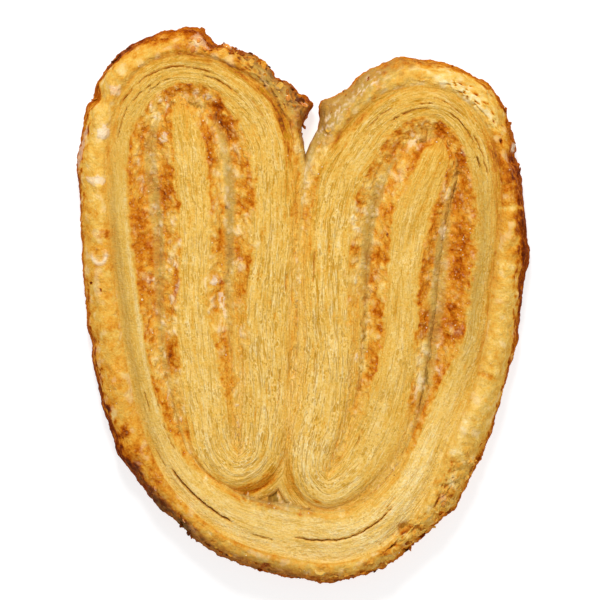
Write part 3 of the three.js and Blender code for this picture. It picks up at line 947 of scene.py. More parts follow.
    def _rim(self, crumb: Crumb) -> None:
        """Blisters and browns the crust of the rim, darkest at its outer edge.

        Args:
            crumb: the surface.
        """
        noise = self.noise
        along, girth = crumb.along, crumb.girth
        x, y, z = np.moveaxis(crumb.points, -1, 0)
        rugged = profile(along, RUGGEDNESS)
        share = crumb.outer_share
        over = smooth(share, 0.02, 0.22)
        pillow = noise.at(x / 7, y / 7, z / 7)
        swell = noise.at(x / 2.6, y / 2.6, z / 2.6)
        wrinkles = 0.4 - np.abs(noise.at(along / 1.1, girth / 2.4, 4.4)) * 1.5
        rough = noise.layered(x / 1.9, y / 1.9, z / 1.9, octaves=3)
        fine = noise.layered(x / 0.7, y / 0.7, z / 0.7, octaves=2)
        peel = 0.4 - np.abs(noise.at(x / 0.9, y / 0.9, z / 0.6)) * 1.5
        edge = smooth(share, 0.74, 0.98)
        torn = np.abs(noise.layered(x / 1.2, y / 1.2, z / 0.7, octaves=2))
        lift = self.blister * pillow + 0.24 * swell + 0.1 * wrinkles * (1 - 0.5 * rugged)
        lift = lift + (0.08 + 0.42 * rugged) * rough + 0.06 * fine + (0.04 + 0.12 * rugged) * peel
        lift = lift - (0.1 + 0.34 * rugged) * torn * edge
        crumb.lift += self.on_rim * over * lift
        low = smooth(-crumb.points[..., 2], -10.5, -5.0)
        top = profile(along, RIM_TOP_BAKE)
        side = profile(along, RIM_EDGE_BAKE)
        # Painted shade at the foot of the rim, in the crease: it is painted browner and duller there.
        crease_shade = smooth(-share, -0.14, 0.0)
        ragged = 0.13 * noise.layered(along / 2.2, girth / 2.2, 1.1) + 0.08 * rough
        brink = profile(along, RIM_TOAST_FROM)
        toasting = smooth((share + ragged - brink) / (1 - brink), 0.0, 0.8)
        toasting = np.maximum(toasting, 0.85 * low)
        calm = 1 - 0.6 * low
        side = blend(side, 0.6 * side + 0.3, low)
        warm = smooth(share + ragged, 0.4, 0.95)
        blotch = noise.layered(x / 4.2, y / 4.2, z / 4.2)
        # Swells and the crests of wrinkles are painted paler: painted highlight where they rise.
        bake = top + 0.05 * warm + 0.08 * blotch - 0.07 * swell - 0.05 * wrinkles
        bake = bake + (0.04 + 0.12 * rugged) * rough - 0.05 * fine - 0.04 * peel + 0.08 * crease_shade
        bake = blend(bake, side + calm * (0.14 * rough - 0.06 * fine), toasting)
        crumb.bake += self.on_rim * bake
        sheen = np.clip(0.3 + 0.4 * noise.at(x / 4, y / 4, 3.3), 0, 1)
        crumb.gloss += self.on_rim * sheen * (1 - smooth(share, 0.5, 0.8))
        crumb.dusk += self.on_rim * (0.12 * rugged * (1 - toasting) + 0.3 * crease_shade)
        # The crests of the swells are painted cream: painted highlight, with some white sugar.
        crumb.glaze += self.on_rim * 0.25 * smooth(swell - 0.5 * rough, 0.25, 0.7) * (1 - toasting)

    def _underside(self, crumb: Crumb) -> None:
        """Presses the underside flat on the tray, with its leaves and caramel showing.

        Args:
            crumb: the surface.
        """
        noise = self.noise
        along, across = crumb.along, crumb.across
        drift = 0.7 * noise.at(along / 20, across / 6, 21.3)
        gap = self._parting(along, across + drift, self.gap_pitch, 4.0, 91.0)
        roll = noise.layered(along / 3.5, across / 3.5, 31.0)
        cut = 1 - smooth(np.abs(across) - crumb.cut, -0.4, 0.8)
        crumb.lift -= self.on_under * (cut * 0.35 * gap + 0.2 * np.maximum(roll, 0))
        # The gaps between the leaves are painted browner here too: painted shade in them.
        crumb.bake += self.on_under * (0.48 + 0.12 * (1 - cut) + 0.16 * roll + 0.1 * gap * cut)
        crumb.gloss += self.on_under * 0.4 * (1 - cut)

    def _mark(self, crumb: Crumb, mark: Mark) -> None:
        """Works one named mark into the crumb, on its upper surface alone.

        Args:
            crumb: the surface.
            mark: the mark.
        """
        rows = np.nonzero(np.abs(crumb.along[:, 0] - mark.along) < 0.65 * mark.length + 2.0)[0]
        if len(rows) == 0:
            return
        part = slice(rows[0], rows[-1] + 1)
        across = crumb.across[part]
        along = crumb.along[part] + 0 * across
        above = smooth(crumb.points[part][..., 2], 5.0, 7.0)
        path = mark.across + mark.drift * (along - mark.along) / mark.length
        if mark.kind is Kind.CRACK:
            changes = self._crack(mark, along, across - path)
        else:
            changes = self._patch(mark, along, across, across - path)
        for name, change in changes.items():
            layer = getattr(crumb, name)
            layer[part] += change * above

    def _crack(self, mark: Mark, along: Array, aside: Array) -> dict[str, Array]:
        """Splits the leaves open at a crack, and gives the change in each layer of the crumb.

        Args:
            mark: the crack.
            along: place along the strip.
            aside: distance from the mark's own line.

        Returns:
            The change in each layer of the crumb.
        """
        noise, still = self.noise, 0 * along
        aside = aside - 0.2 * noise.layered(along / 2.0, still, mark.along)
        aside = aside - 0.09 * noise.at(along / 0.5, still, 2 * mark.along)
        breaks = smooth(noise.at(along / 1.7, still, 3 * mark.along), -0.8, 0.0)
        ends = smooth(-np.abs(along - mark.along) / (0.5 * mark.length), -1.0, -0.7)
        near = np.exp(-((aside / (0.36 * mark.width)) ** 2)) * ends * (0.2 + 0.8 * breaks)
        # The crack is painted browner and duller inside: painted shade in it.
        return {"lift": -mark.amount * near, "bake": 0.25 * min(1.0, mark.amount) * near, "dusk": 0.3 * near}

    def _patch(
        self, mark: Mark, along: Array, across: Array, aside: Array
    ) -> dict[str, Array]:
        """Works any other mark as a patch with an uneven border.

        Args:
            mark: the mark.
            along: place along the strip.
            across: place across it.
            aside: distance across it from the mark's own line.

        Returns:
            The change in each layer of the crumb.
        """
        noise, amount = self.noise, mark.amount
        onward = (along - mark.along) / (0.5 * mark.length)
        far = np.hypot(onward, aside / (0.5 * mark.width))
        border = -far - 0.45 * noise.layered(along / 1.1, across / 1.1, 40.0 + mark.along)
        near = smooth(border, -1.35, -0.35)
        match mark.kind:
            case Kind.TOAST:
                return {"bake": amount * near, "gloss": 0.15 * near}
            case Kind.PALE:
                return {"bake": -amount * near}
            case Kind.SPECK:
                return {"bake": amount * near}
            # Painted shade: dulls the crumb to olive.
            case Kind.DUSK:
                return {"dusk": amount * near}
            case Kind.HOLE:
                return {"lift": -amount * near, "bake": 0.2 * near}
            case Kind.GLAZE:
                near = amount * smooth(border, -1.1, -0.75)
                return {"glaze": near, "lift": 0.2 * near, "gloss": 0.8 * near}
            case Kind.BUMP:
                swell = np.maximum(0, 1 - far**2)
                return {"lift": amount * swell, "bake": -0.04 * swell}
            case Kind.CRUMB:
                torn = np.abs(noise.layered(along / 1.3, across / 0.8, 12.0))
                bend = 0.5 * noise.at(along / 1.6, across / 1.6, 51.0)
                gap, luck = noise.cells(along / 1.15 + bend, across / 0.8 - bend)
                pore = (1 - smooth(gap, 0.1, 0.5)) * smooth(luck, 0.35, 0.75)
                return {
                    "lift": -near * (0.15 + 0.5 * torn + 0.5 * pore),
                    "bake": amount * near * (0.6 * torn + 1.0 * pore - 0.3),
                }
            case Kind.DROP:
                rim = np.exp(-(((far - 0.78) / 0.17) ** 2)) * smooth(onward, -0.5, 0.6)
                return {"glaze": amount * rim, "lift": 0.2 * rim, "gloss": 0.6 * near}
            case _:
                dusting = smooth(noise.layered(along / 0.8, across / 0.8, 61.0), 0.05, 0.5)
                return {"glaze": amount * near * dusting}


@dataclass(frozen=True)
class PastryFinish:
    """Baked dough, from pale crumb through caramel to the dark edge, with dried glaze and melted sugar.

    Attributes:
        name: name of the material.
        bakes: (brownness, colour) of each step.
        glaze: colour of the dried sugar glaze.
        dusk: colour of the dull olive crumb, and of the painted shade in the grooves, creases and cracks.
        hollow: colour of the painted shade in the pits and the lines between leaves.
        shaded_slit: colour of the painted shade in the lowest line of a groove.
        sugar: colour of the grains of sugar in the caramel, which are partly painted glints.
        roughness: of dry crumb.
    """

    name: str = "baked_pastry"
    bakes: tuple[tuple[float, RGB], ...] = (
        (0.0, (255, 232, 170)),
        (0.2, (250, 210, 122)),
        (0.35, (238, 189, 86)),
        (0.5, (231, 164, 56)),
        (0.62, (215, 135, 30)),
        (0.74, (190, 98, 6)),
        (0.86, (142, 58, 2)),
        (1.0, (90, 28, 0)),
    )
    glaze: RGB = (252, 226, 190)
    dusk: RGB = (176, 142, 72)
    hollow: RGB = (194, 138, 20)
    shaded_slit: RGB = (112, 84, 20)
    sugar: RGB = (255, 218, 150)
    roughness: float = 0.62

    def build(self) -> bpy.types.Material:
        """Builds the material's nodes.

        Returns:
            The material.
        """
        nodes = NodeBench(self.name)
        place = nodes.add("ShaderNodeTexCoord").outputs["Object"]
        way = nodes.attribute("grain", "Vector")
        leaf, gloss, glaze = (nodes.attribute(name) for name in ("leaf", "gloss", "glaze"))

        # Grain of the whole surface, and threads that run along the leaves.
        speckle = nodes.centred(nodes.noise(place, 2300, 1))
        cloud = nodes.centred(nodes.noise(place, 600, 3))
        lines = nodes.centred(nodes.noise(nodes.mapping(way, (0.2, 2.2, 1.0)), 1.0, 3))
        crinkle = nodes.centred(nodes.noise(nodes.mapping(way, (1.3, 3.2, 1.0)), 1.0, 2))
        strand = nodes.times(nodes.plus(lines, crinkle), leaf)

        # Pits in patches and seams between leaves: painted shade in them, and painted highlight on their
        # pale lips.
        spread = nodes.step(nodes.noise(place, 230, 1), 0.35, 0.6)
        patchy = nodes.times(leaf, nodes.plus(spread, 0.3))
        long_way, short_way = nodes.mapping(way, (0.55, 1.5, 1.0)), nodes.mapping(way, (1.1, 2.4, 1.0))
        pit = nodes.most(nodes.spots(long_way, 1.0, 0.6), nodes.spots(short_way, 1.0, 0.6))
        pit = nodes.times(pit, patchy)
        halo = nodes.minus(nodes.times(nodes.spots(long_way, 1.0, 0.9), patchy), pit)
        plies = nodes.noise(nodes.mapping(way, (0.05, 0.85, 1.0)), 1.0, 3)
        breaks = nodes.noise(nodes.mapping(way, (0.25, 0.9, 1.0)), 1.0, 1)
        apart = nodes.math("ABSOLUTE", nodes.centred(plies), 0.0)
        parted = nodes.times(leaf, nodes.step(breaks, 0.36, 0.52))
        seam = nodes.times(nodes.minus(1.0, nodes.step(apart, 0.004, 0.034)), parted)
        lip_highlight = nodes.minus(nodes.times(nodes.minus(1.0, nodes.step(apart, 0.02, 0.1)), parted), seam)
        lip_highlight = nodes.most(lip_highlight, nodes.times(halo, 0.7))
        open_crumb_shade = nodes.most(nodes.times(pit, 0.75), seam)

        # Sugar: lumps whose tops are painted paler, painted highlight, and bright grains, which are partly
        # painted glints.
        crystal = nodes.times(nodes.spots(place, 1250, 0.6), gloss)
        sugared = nodes.plus(nodes.times(gloss, 0.8), 0.2)
        lumps = nodes.centred(nodes.noise(place, 800, 1))
        grit = nodes.times(lumps, nodes.minus(sugared, nodes.times(leaf, 0.2)))

        bake = nodes.attribute("bake")
        # Lump tops and the lips of pits are painted paler, and the threads browner where they sink: painted
        # light and shade on the relief.
        bake = nodes.total(
            (bake, 1.0), (speckle, 0.26), (cloud, 0.2), (strand, 0.36), (grit, -0.4), (lip_highlight, -0.17)
        )
        colour = nodes.ramp(bake, self.bakes)
        # Mixes in the dull olive with its painted shade, painted shade in pits, seams and slits, sugar
        # grains that are partly painted glints, and the glaze that is partly painted highlight.
        for share, strength, tint in (
            (nodes.attribute("dusk"), 0.7, self.dusk),
            (open_crumb_shade, 0.74, self.hollow),
            (nodes.attribute("shaded_slit"), 0.65, self.shaded_slit),
            (crystal, 0.2, self.sugar),
            (glaze, 0.85, self.glaze),
        ):
            colour = nodes.mix(nodes.times(share, strength), colour, linear(tint))
        shine = nodes.most(gloss, glaze)
        relief = nodes.total(
            (speckle, 0.9), (open_crumb_shade, -0.1), (strand, -0.35), (grit, 1.6), (crystal, 0.15), (lip_highlight, 0.16)
        )
        return nodes.settle({
            "Base Color": colour,
            "Roughness": nodes.plus(nodes.total((shine, -0.2), (speckle, 0.5)), self.roughness),
            "Normal": nodes.bump(relief, 1.0, 0.0003),
            "Coat Weight": nodes.times(shine, 0.14),
            "Coat Roughness": 0.2,
            "IOR": 1.05,
            "Subsurface Weight": 0.06,
            "Subsurface Radius": (1.0, 0.55, 0.2),
            "Subsurface Scale": 0.0006,
        })


@dataclass(frozen=True)
class SugarFinish:
    """Clear sugar, from white grains to amber drops.

    Attributes:
        name: name of the material.
        pale: one colour of the sugar.
        deep: the other.
        roughness: of its surface.
    """

    name: str
    pale: RGB
    deep: RGB
    roughness: float = 0.25

    def build(self) -> bpy.types.Material:
        """Builds the material's nodes.

        Returns:
            The material.
        """
        nodes = NodeBench(self.name)
        place = nodes.add("ShaderNodeTexCoord").outputs["Object"]
        frost = nodes.noise(place, 5000, 2)
        return nodes.settle({
            "Base Color": nodes.ramp(nodes.noise(place, 450, 2), ((0.3, self.pale), (0.7, self.deep))),
            "Roughness": nodes.plus(self.roughness, nodes.times(nodes.centred(frost), 0.3)),
            "Normal": nodes.bump(frost, 0.3, 0.00005),
            "Subsurface Weight": 0.4,
            "Subsurface Radius": (1.0, 0.6, 0.3),
            "Subsurface Scale": 0.001,
        })


@dataclass(frozen=True)
class FloorFinish:
    """Plain pale table top, evenly lit.

    Attributes:
        name: name of the material.
        colour: linear, with alpha.
        glow: light that it gives off itself.
    """

    name: str = "pale_floor"
    colour: tuple[float, float, float, float] = (0.45, 0.45, 0.45, 1.0)
    glow: float = 0.72

    def build(self) -> bpy.types.Material:
        """Builds the material.

        Returns:
            The material.
        """
        return NodeBench(self.name).settle({
            "Base Color": self.colour,
            "Roughness": 0.9,
            "Specular IOR Level": 0.0,
            "Emission Color": (1.0, 1.0, 1.0, 1.0),
            "Emission Strength": self.glow,
        })


def linear(rgb: RGB) -> tuple[float, float, float, float]:
    """Turns an sRGB colour of 0 to 255 into a linear one with alpha.

    Args:
        rgb: the colour.

    Returns:
        The linear colour.
    """
    shares = [value / 255 for value in rgb]
    steps = [share / 12.92 if share <= 0.04045 else ((share + 0.055) / 1.055) ** 2.4 for share in shares]
    return (*steps, 1.0)


class NodeBench:
    """Puts shader nodes together in one new material."""

    def __init__(self, name: str) -> None:
        """Starts the material.

        Args:
            name: name of the material.
        """
        self.material = bpy.data.materials.new(name)
        self.material.use_nodes = True
        self.tree = self.material.node_tree
        self.shader = self.tree.nodes["Principled BSDF"]

    def add(self, kind: str) -> bpy.types.Node:
        """Adds a node of that kind."""
        return self.tree.nodes.new(kind)

    def feed(self, node: bpy.types.Node, values: dict[int | str, object]) -> None:
        """Joins sockets to a node's inputs, or sets plain values on them.

        Args:
            node: the node.
            values: what goes into each input.
        """
        for name, value in values.items():
            if isinstance(value, Socket):
                self.tree.links.new(value, node.inputs[name])
            else:
                node.inputs[name].default_value = value

    def settle(self, values: dict[str, object]) -> bpy.types.Material:
        """Feeds the shader, and gives the finished material."""
        self.feed(self.shader, values)
        return self.material

    def attribute(self, name: str, output: str = "Fac") -> Socket:
        """Reads a value that the mesh carries.

        Args:
            name: the value's name.
            output: which reading of it.

        Returns:
            The value.
        """
        node = self.add("ShaderNodeAttribute")
        node.attribute_name = name
        return node.outputs[output]

    def noise(self, vector: Socket, scale: float, detail: float) -> Socket:
        """Soft noise at that scale.

        Args:
            vector: place.
            scale: features in each unit.
            detail: finer layers.

        Returns:
            The noise, 0 to 1.
        """
        node = self.add("ShaderNodeTexNoise")
        self.feed(node, {"Vector": vector, "Scale": scale, "Detail": detail})
        return node.outputs["Fac"]

    def math(self, operation: str, first: object, second: object) -> Socket:
        """One sum on two values.

        Args:
            operation: kind of sum.
            first: one value.
            second: the other.

        Returns:
            The result.
        """
        node = self.add("ShaderNodeMath")
        node.operation = operation
        self.feed(node, {0: first, 1: second})
        return node.outputs["Value"]

    def plus(self, first: object, second: object) -> Socket:
        """Adds."""
        return self.math("ADD", first, second)

    def minus(self, first: object, second: object) -> Socket:
        """Takes the second from the first."""
        return self.math("SUBTRACT", first, second)

    def times(self, first: object, second: object) -> Socket:
        """Multiplies."""
        return self.math("MULTIPLY", first, second)

    def most(self, first: object, second: object) -> Socket:
        """The larger of two."""
        return self.math("MAXIMUM", first, second)

    def total(self, *parts: tuple[object, float]) -> Socket:
        """Adds up values, each at its strength."""
        return reduce(self.plus, (self.times(value, strength) for value, strength in parts))

    def centred(self, value: Socket) -> Socket:
        """Brings noise of 0 to 1 round zero."""
        return self.minus(value, 0.5)

    def spots(self, vector: Socket, scale: float, size: float) -> Socket:
        """Scattered soft spots up to that size, 1 inside and 0 between them.

        Args:
            vector: place.
            scale: spots in each unit.
            size: of the largest.

        Returns:
            How far inside a spot.
        """
        node = self.add("ShaderNodeTexVoronoi")
        self.feed(node, {"Vector": vector, "Scale": scale})
        reach = self.times(node.outputs["Color"], size)
        return self.step(self.minus(reach, node.outputs["Distance"]), 0.0, 0.15)

    def step(self, value: Socket, low: float, high: float) -> Socket:
        """Soft step from 0 at low to 1 at high.

        Args:
            value: what is stepped.
            low: start.
            high: end.

        Returns:
            The step.
        """
        node = self.add("ShaderNodeMapRange")
        node.interpolation_type = "SMOOTHSTEP"
        self.feed(node, {"Value": value, "From Min": low, "From Max": high})
        return node.outputs["Result"]

    def mapping(self, vector: Socket, scale: tuple[float, ...]) -> Socket:
        """Stretches a vector.

        Args:
            vector: place.
            scale: stretch along each axis.

        Returns:
            The stretched place.
        """
        node = self.add("ShaderNodeMapping")
        self.feed(node, {"Vector": vector, "Scale": scale})
        return node.outputs["Vector"]

    def bump(self, relief: Socket, strength: float, distance: float) -> Socket:
        """Turns fine relief into a normal.

        Args:
            relief: height.
            strength: 0 to 1.
            distance: height of 1, in metres.

        Returns:
            The normal.
        """
        node = self.add("ShaderNodeBump")
        self.feed(node, {"Height": relief, "Strength": strength, "Distance": distance})
        return node.outputs["Normal"]

    def mix(self, share: object, first: object, second: object) -> Socket:
        """Mixes two colours.

        Args:
            share: share of the second.
            first: one colour.
            second: the other.

        Returns:
            The mixed colour.
        """
        node = self.add("ShaderNodeMix")
        node.data_type = "RGBA"
        self.feed(node, {"Factor": share, 6: first, 7: second})
        return node.outputs[2]

    def ramp(self, value: Socket, stops: tuple[tuple[float, RGB], ...]) -> Socket:
        """Turns a value into a colour through the stops.

        Args:
            value: what is turned.
            stops: (value, colour) of each.

        Returns:
            The colour.
        """
        node = self.add("ShaderNodeValToRGB")
        elements = node.color_ramp.elements
        while len(elements) < len(stops):
            elements.new(0.5)
        for element, (place, colour) in zip(elements, stops):
            element.position = place
            element.color = linear(colour)
        self.feed(node, {"Fac": value})
        return node.outputs["Color"]


def dress(piece: Piece, material: bpy.types.Material) -> None:
    """Gives a piece its material, hangs it on the body that it rides on, and hides the model's part that it
    stands in for.

    Args:
        piece: the piece.
        material: its material.
    """
    piece.data.materials.clear()
    piece.data.materials.append(material)
    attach(piece, BODY)
    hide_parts(NODE)
    log.info("%s: %d faces", piece.name, len(piece.data.polygons))


def keep_values(piece: Piece, values: dict[str, Array]) -> None:
    """Stores values on the points of a mesh: plain ones as numbers, threefold ones as vectors.

    Args:
        piece: the piece.
        values: the value of each point, by name.
    """
    for name, value in values.items():
        flat = value.reshape(len(piece.data.vertices), -1)
        kind, key = ("FLOAT", "value") if flat.shape[1] == 1 else ("FLOAT_VECTOR", "vector")
        piece.data.attributes.new(name, kind, "POINT").data.foreach_set(key, flat.ravel())


def modelled(operator: Callable[..., object], **sizes: object) -> Piece:
    """Deselects everything, adds a primitive and gives it back.

    Args:
        operator: adds it.
        **sizes: what the operator takes.

    Returns:
        The new object.
    """
    bpy.ops.object.select_all(action="DESELECT")
    operator(**sizes)
    return bpy.context.object


def edited(*steps: Callable[[], object]) -> None:
    """Takes steps on the whole active mesh in edit mode, then turns its faces outwards.

    Args:
        *steps: what is done, in order.
    """
    bpy.ops.object.mode_set(mode="EDIT")
    for step in (*steps, partial(bpy.ops.mesh.normals_make_consistent, inside=False)):
        bpy.ops.mesh.select_all(action="SELECT")
        step()
    bpy.ops.object.mode_set(mode="OBJECT")


def laid_grid(name: str, points: Array, values: dict[str, Array]) -> Piece:
    """Lays a grid through rows of points, which carry their values.

    Args:
        name: name of the piece.
        points: rows of points, in millimetres.
        values: what they carry.

    Returns:
        The piece.
    """
    rows, columns = points.shape[:2]
    piece = modelled(
        bpy.ops.mesh.primitive_grid_add, x_subdivisions=columns - 1, y_subdivisions=rows - 1, calc_uvs=False
    )
    piece.name = name
    piece.data.name = name
    piece.data.vertices.foreach_set("co", points.ravel() * MM)
    keep_values(piece, values)
    return piece


@dataclass
class Ply:
    """A length of the strip, closed at both ends.

    Attributes:
        name: name of the piece.
        first: station that it starts from.
        last: station that it ends at.
        walled: whether its outer side stands free as the rim.
        crumb: its surface, once built.
        points: its raised points.
        normals: the surface's normals there.
        kept: the crumb's rows that belong to it.
    """

    name: str
    first: int
    last: int
    walled: bool = False
    crumb: Crumb = field(init=False)
    points: Array = field(init=False)
    normals: Array = field(init=False)
    kept: slice = field(init=False)

    HIDDEN = 1.2   # distance between points where the strip is sunk in its neighbours
    UNDER = 0.42   # and on the underside
    TIP_STEPS = 5  # rows that round off a tongue

    def _pitches(self) -> tuple[float, ...]:
        """Distance between points in each gap between the section's knots.

        Returns:
            The distances, in order around the section.
        """
        under, hidden = self.UNDER, self.HIDDEN
        free = (0.34, 0.34, 0.32, 0.3, 0.26, 0.2, 0.18, 0.17)
        sunk = (under, under, hidden, hidden, 0.4, 0.18, 0.17, 0.17)
        outer = free if self.walled else sunk
        face = 0.16
        inner = (0.17, 0.17, 0.18, 0.4, hidden, hidden, under, under)
        return (*outer, face, face, *inner, under)

    def build(self, line: StripLine, section: Section, baker: Baker) -> Piece:
        """Builds the mesh of this length of strip.

        Args:
            line: the strip's line.
            section: the strip's section.
            baker: raises the relief and bakes the colour.

        Returns:
            The piece.
        """
        total = len(line.lay.along)
        start, end = (int(line.station_rows[station]) for station in (self.first, self.last))
        end = min(end, total - 1)
        lead, tail = max(0, start - 2), min(total, end + 3)
        lay = line.lay.rows(lead, tail)
        flat, knot = section.sample(section.outline(lay), self._pitches())
        points = section.stand(lay, flat, knot)
        crumb = Crumb(lay.along[:, None], flat[..., 0], self._girth(flat, knot, section), knot, points, lay)
        baker.work(crumb)
        raised = points + self._normals(points, knot, section) * crumb.lift[..., None]
        raised[..., 2] = np.maximum(raised[..., 2], 0)
        keep = slice(start - lead, end - lead + 1)
        self.crumb, self.kept = crumb, keep
        self.points = raised[keep]
        self.normals = self._normals(raised, knot, section)[keep]
        layers = ("bake", "glaze", "dusk", "gloss", "leaf")
        values = {name: np.clip(getattr(crumb, name), 0, 1)[keep] for name in layers}
        still = 0 * crumb.girth
        values["grain"] = np.stack([crumb.along + still, crumb.seat, still], axis=-1)[keep]
        return self._weave(values, start == 0, end == total - 1)

    @staticmethod
    def _girth(flat: Array, knot: Array, section: Section) -> Array:
        """Distance around the section from the middle of the cut face, outer side negative.

        Args:
            flat: section points.
            knot: their places among the knots.
            section: the section.

        Returns:
            The distances.
        """
        steps = np.linalg.norm(np.diff(flat, axis=1), axis=-1)
        girth = np.concatenate([np.zeros((len(flat), 1)), np.cumsum(steps, axis=1)], axis=1)
        middle = int(np.searchsorted(knot, section.middle))
        return girth - girth[:, middle : middle + 1]

    @staticmethod
    def _normals(points: Array, knot: Array, section: Section) -> Array:
        """Outward directions all over the surface.

        Args:
            points: the points.
            knot: their places among the knots.
            section: the section.

        Returns:
            A unit direction for each point.
        """
        forward = np.gradient(points, axis=0)
        around = np.roll(points, -1, axis=1) - np.roll(points, 1, axis=1)
        normals = np.cross(forward, around)
        normals /= np.maximum(np.linalg.norm(normals, axis=-1, keepdims=True), 1e-9)
        middle = int(np.searchsorted(knot, section.middle))
        return normals * np.sign(normals[:, middle, 2].mean())

    def _tip(self, ring: Array, before: Array) -> Array:
        """Rounds off the end of a tongue.

        Args:
            ring: the last row of points.
            before: the row before it.

        Returns:
            The rows that close it, each smaller and further out.
        """
        hub = ring.mean(axis=0)
        out = hub - before.mean(axis=0)
        out[2] = 0
        out /= np.linalg.norm(out)
        turns = np.linspace(0, 0.5 * math.pi, self.TIP_STEPS + 1)[1:, None, None]
        rows = hub + (ring - hub) * np.cos(turns) + out * 1.1 * np.sin(turns)
        rows[..., 2] = np.maximum(rows[..., 2], 0)
        return rows

    def _weave(self, values: dict[str, Array], starts: bool, ends: bool) -> Piece:
        """Makes the mesh from a grid, rolled up into a tube and closed at its ends.

        Args:
            values: what each point carries.
            starts: whether it starts with a tongue's tip.
            ends: whether it ends with one.

        Returns:
            The piece.
        """
        points = self.points
        lead = self._tip(points[0], points[1])[::-1] if starts else points[:1].mean(axis=1, keepdims=True)
        tail = self._tip(points[-1], points[-2]) if ends else points[-1:].mean(axis=1, keepdims=True)
        around = points.shape[1]
        closing = [np.broadcast_to(part, (len(part), around, 3)) for part in (lead, tail)]
        rows = np.concatenate([closing[0], points, closing[1]])
        repeats = [1] * len(points)
        repeats[0] += len(lead)
        repeats[-1] += len(tail)
        values = {name: np.repeat(value, repeats, axis=0) for name, value in values.items()}
        rows, *layers = (np.concatenate([part, part[:, :1]], axis=1) for part in (rows, *values.values()))
        piece = laid_grid(self.name, rows, dict(zip(values, layers)))

        borders = ([] if starts else [len(lead)]) + ([] if ends else [len(lead) + len(points) - 1])
        ends_of_edges = np.empty(2 * len(piece.data.edges), dtype=np.int32)
        piece.data.edges.foreach_get("vertices", ends_of_edges)
        row = ends_of_edges.reshape(-1, 2) // rows.shape[1]
        sharp = (row[:, 0] == row[:, 1]) & np.isin(row[:, 0], borders)
        piece.data.attributes.new("sharp_edge", "BOOLEAN", "EDGE").data.foreach_set("value", sharp)
        edited(partial(bpy.ops.mesh.remove_doubles, threshold=1e-6))
        bpy.ops.object.shade_smooth_by_angle(angle=math.radians(85))
        return piece


class Ground:
    """The finished upper surface of the strip, which sugar and flakes are laid on."""

    def __init__(self, plies: list[Ply]) -> None:
        """Gathers the upper points of all lengths of strip.

        Args:
            plies: those lengths, once built.
        """
        gathered: dict[str, list[Array]] = {}
        for ply in plies:
            crumb, kept = ply.crumb, ply.kept
            layers = {
                "along": (crumb.along + 0 * crumb.across)[kept],
                "across": crumb.across[kept],
                "outer_share": crumb.outer_share[kept],
                "rim": (crumb.lay.rim[:, None] + 0 * crumb.across)[kept],
                "knot": (crumb.knot[None, :] + 0 * crumb.across)[kept],
                "bake": crumb.bake[kept],
                "dusk": crumb.dusk[kept],
                "place": ply.points,
                "normal": ply.normals,
            }
            upper = (ply.points[..., 2] > 4.0) & (crumb.knot[None, :] > 1.5) & (crumb.knot[None, :] < 14.5)
            for name, layer in layers.items():
                gathered.setdefault(name, []).append(layer[upper])
        for name, parts in gathered.items():
            setattr(self, name, np.concatenate(parts))

    def spot(self, along: float, across: float) -> tuple[Array, Array]:
        """The surface point nearest to a place along and across the strip, and its normal.

        Args:
            along: place along the strip.
            across: place across it.

        Returns:
            The point and its normal.
        """
        gap = (self.along - along) ** 2 + (self.across - across) ** 2
        gap = gap + np.where(self.knot > 4.0, 0.0, 50.0)
        index = int(np.argmin(gap))
        return self.place[index], self.normal[index]

    def raster(self, cell: float, x: Array, y: Array) -> dict[str, Array]:
        """Reads the highest surface and the mean colour on a grid seen from above.

        Args:
            cell: size of a cell.
            x: the columns.
            y: the rows.

        Returns:
            The height, the brownness, and the dullness with its painted shade, of each cell, (rows,
            columns).
        """
        column = np.round((self.place[:, 0] - x[0]) / cell).astype(int)
        row = np.round((self.place[:, 1] - y[0]) / cell).astype(int)
        inside = (column >= 0) & (column < len(x)) & (row >= 0) & (row < len(y))
        inside &= self.knot > 3.0
        spots = (row[inside], column[inside])
        height = np.zeros((len(y), len(x)))
        np.maximum.at(height, spots, self.place[inside, 2])
        seen = self.place[inside, 2] > height[spots] - 0.4
        spots = (spots[0][seen], spots[1][seen])
        count = np.zeros_like(height)
        np.add.at(count, spots, 1.0)
        layers = {"height": height}
        for name in ("bake", "dusk"):
            total = np.zeros_like(height)
            np.add.at(total, spots, getattr(self, name)[inside][seen])
            layers[name] = total / np.maximum(count, 1)
        layers["count"] = count
        return layers


def soften(layer: Array, width: float) -> Array:
    """Blurs a grid by that many cells.

    Args:
        layer: the grid.
        width: spread of the blur, in cells.

    Returns:
        The blurred grid.
    """
    reach = int(3 * width) + 1
    weights = np.exp(-0.5 * (np.arange(-reach, reach + 1) / width) ** 2)
    weights /= weights.sum()
    for axis in (0, 1):
        padding = [(reach, reach) if n == axis else (0, 0) for n in (0, 1)]
        padded = np.pad(layer, padding, mode="edge")
        layer = np.apply_along_axis(lambda run: np.convolve(run, weights, mode="valid"), axis, padded)
    return layer


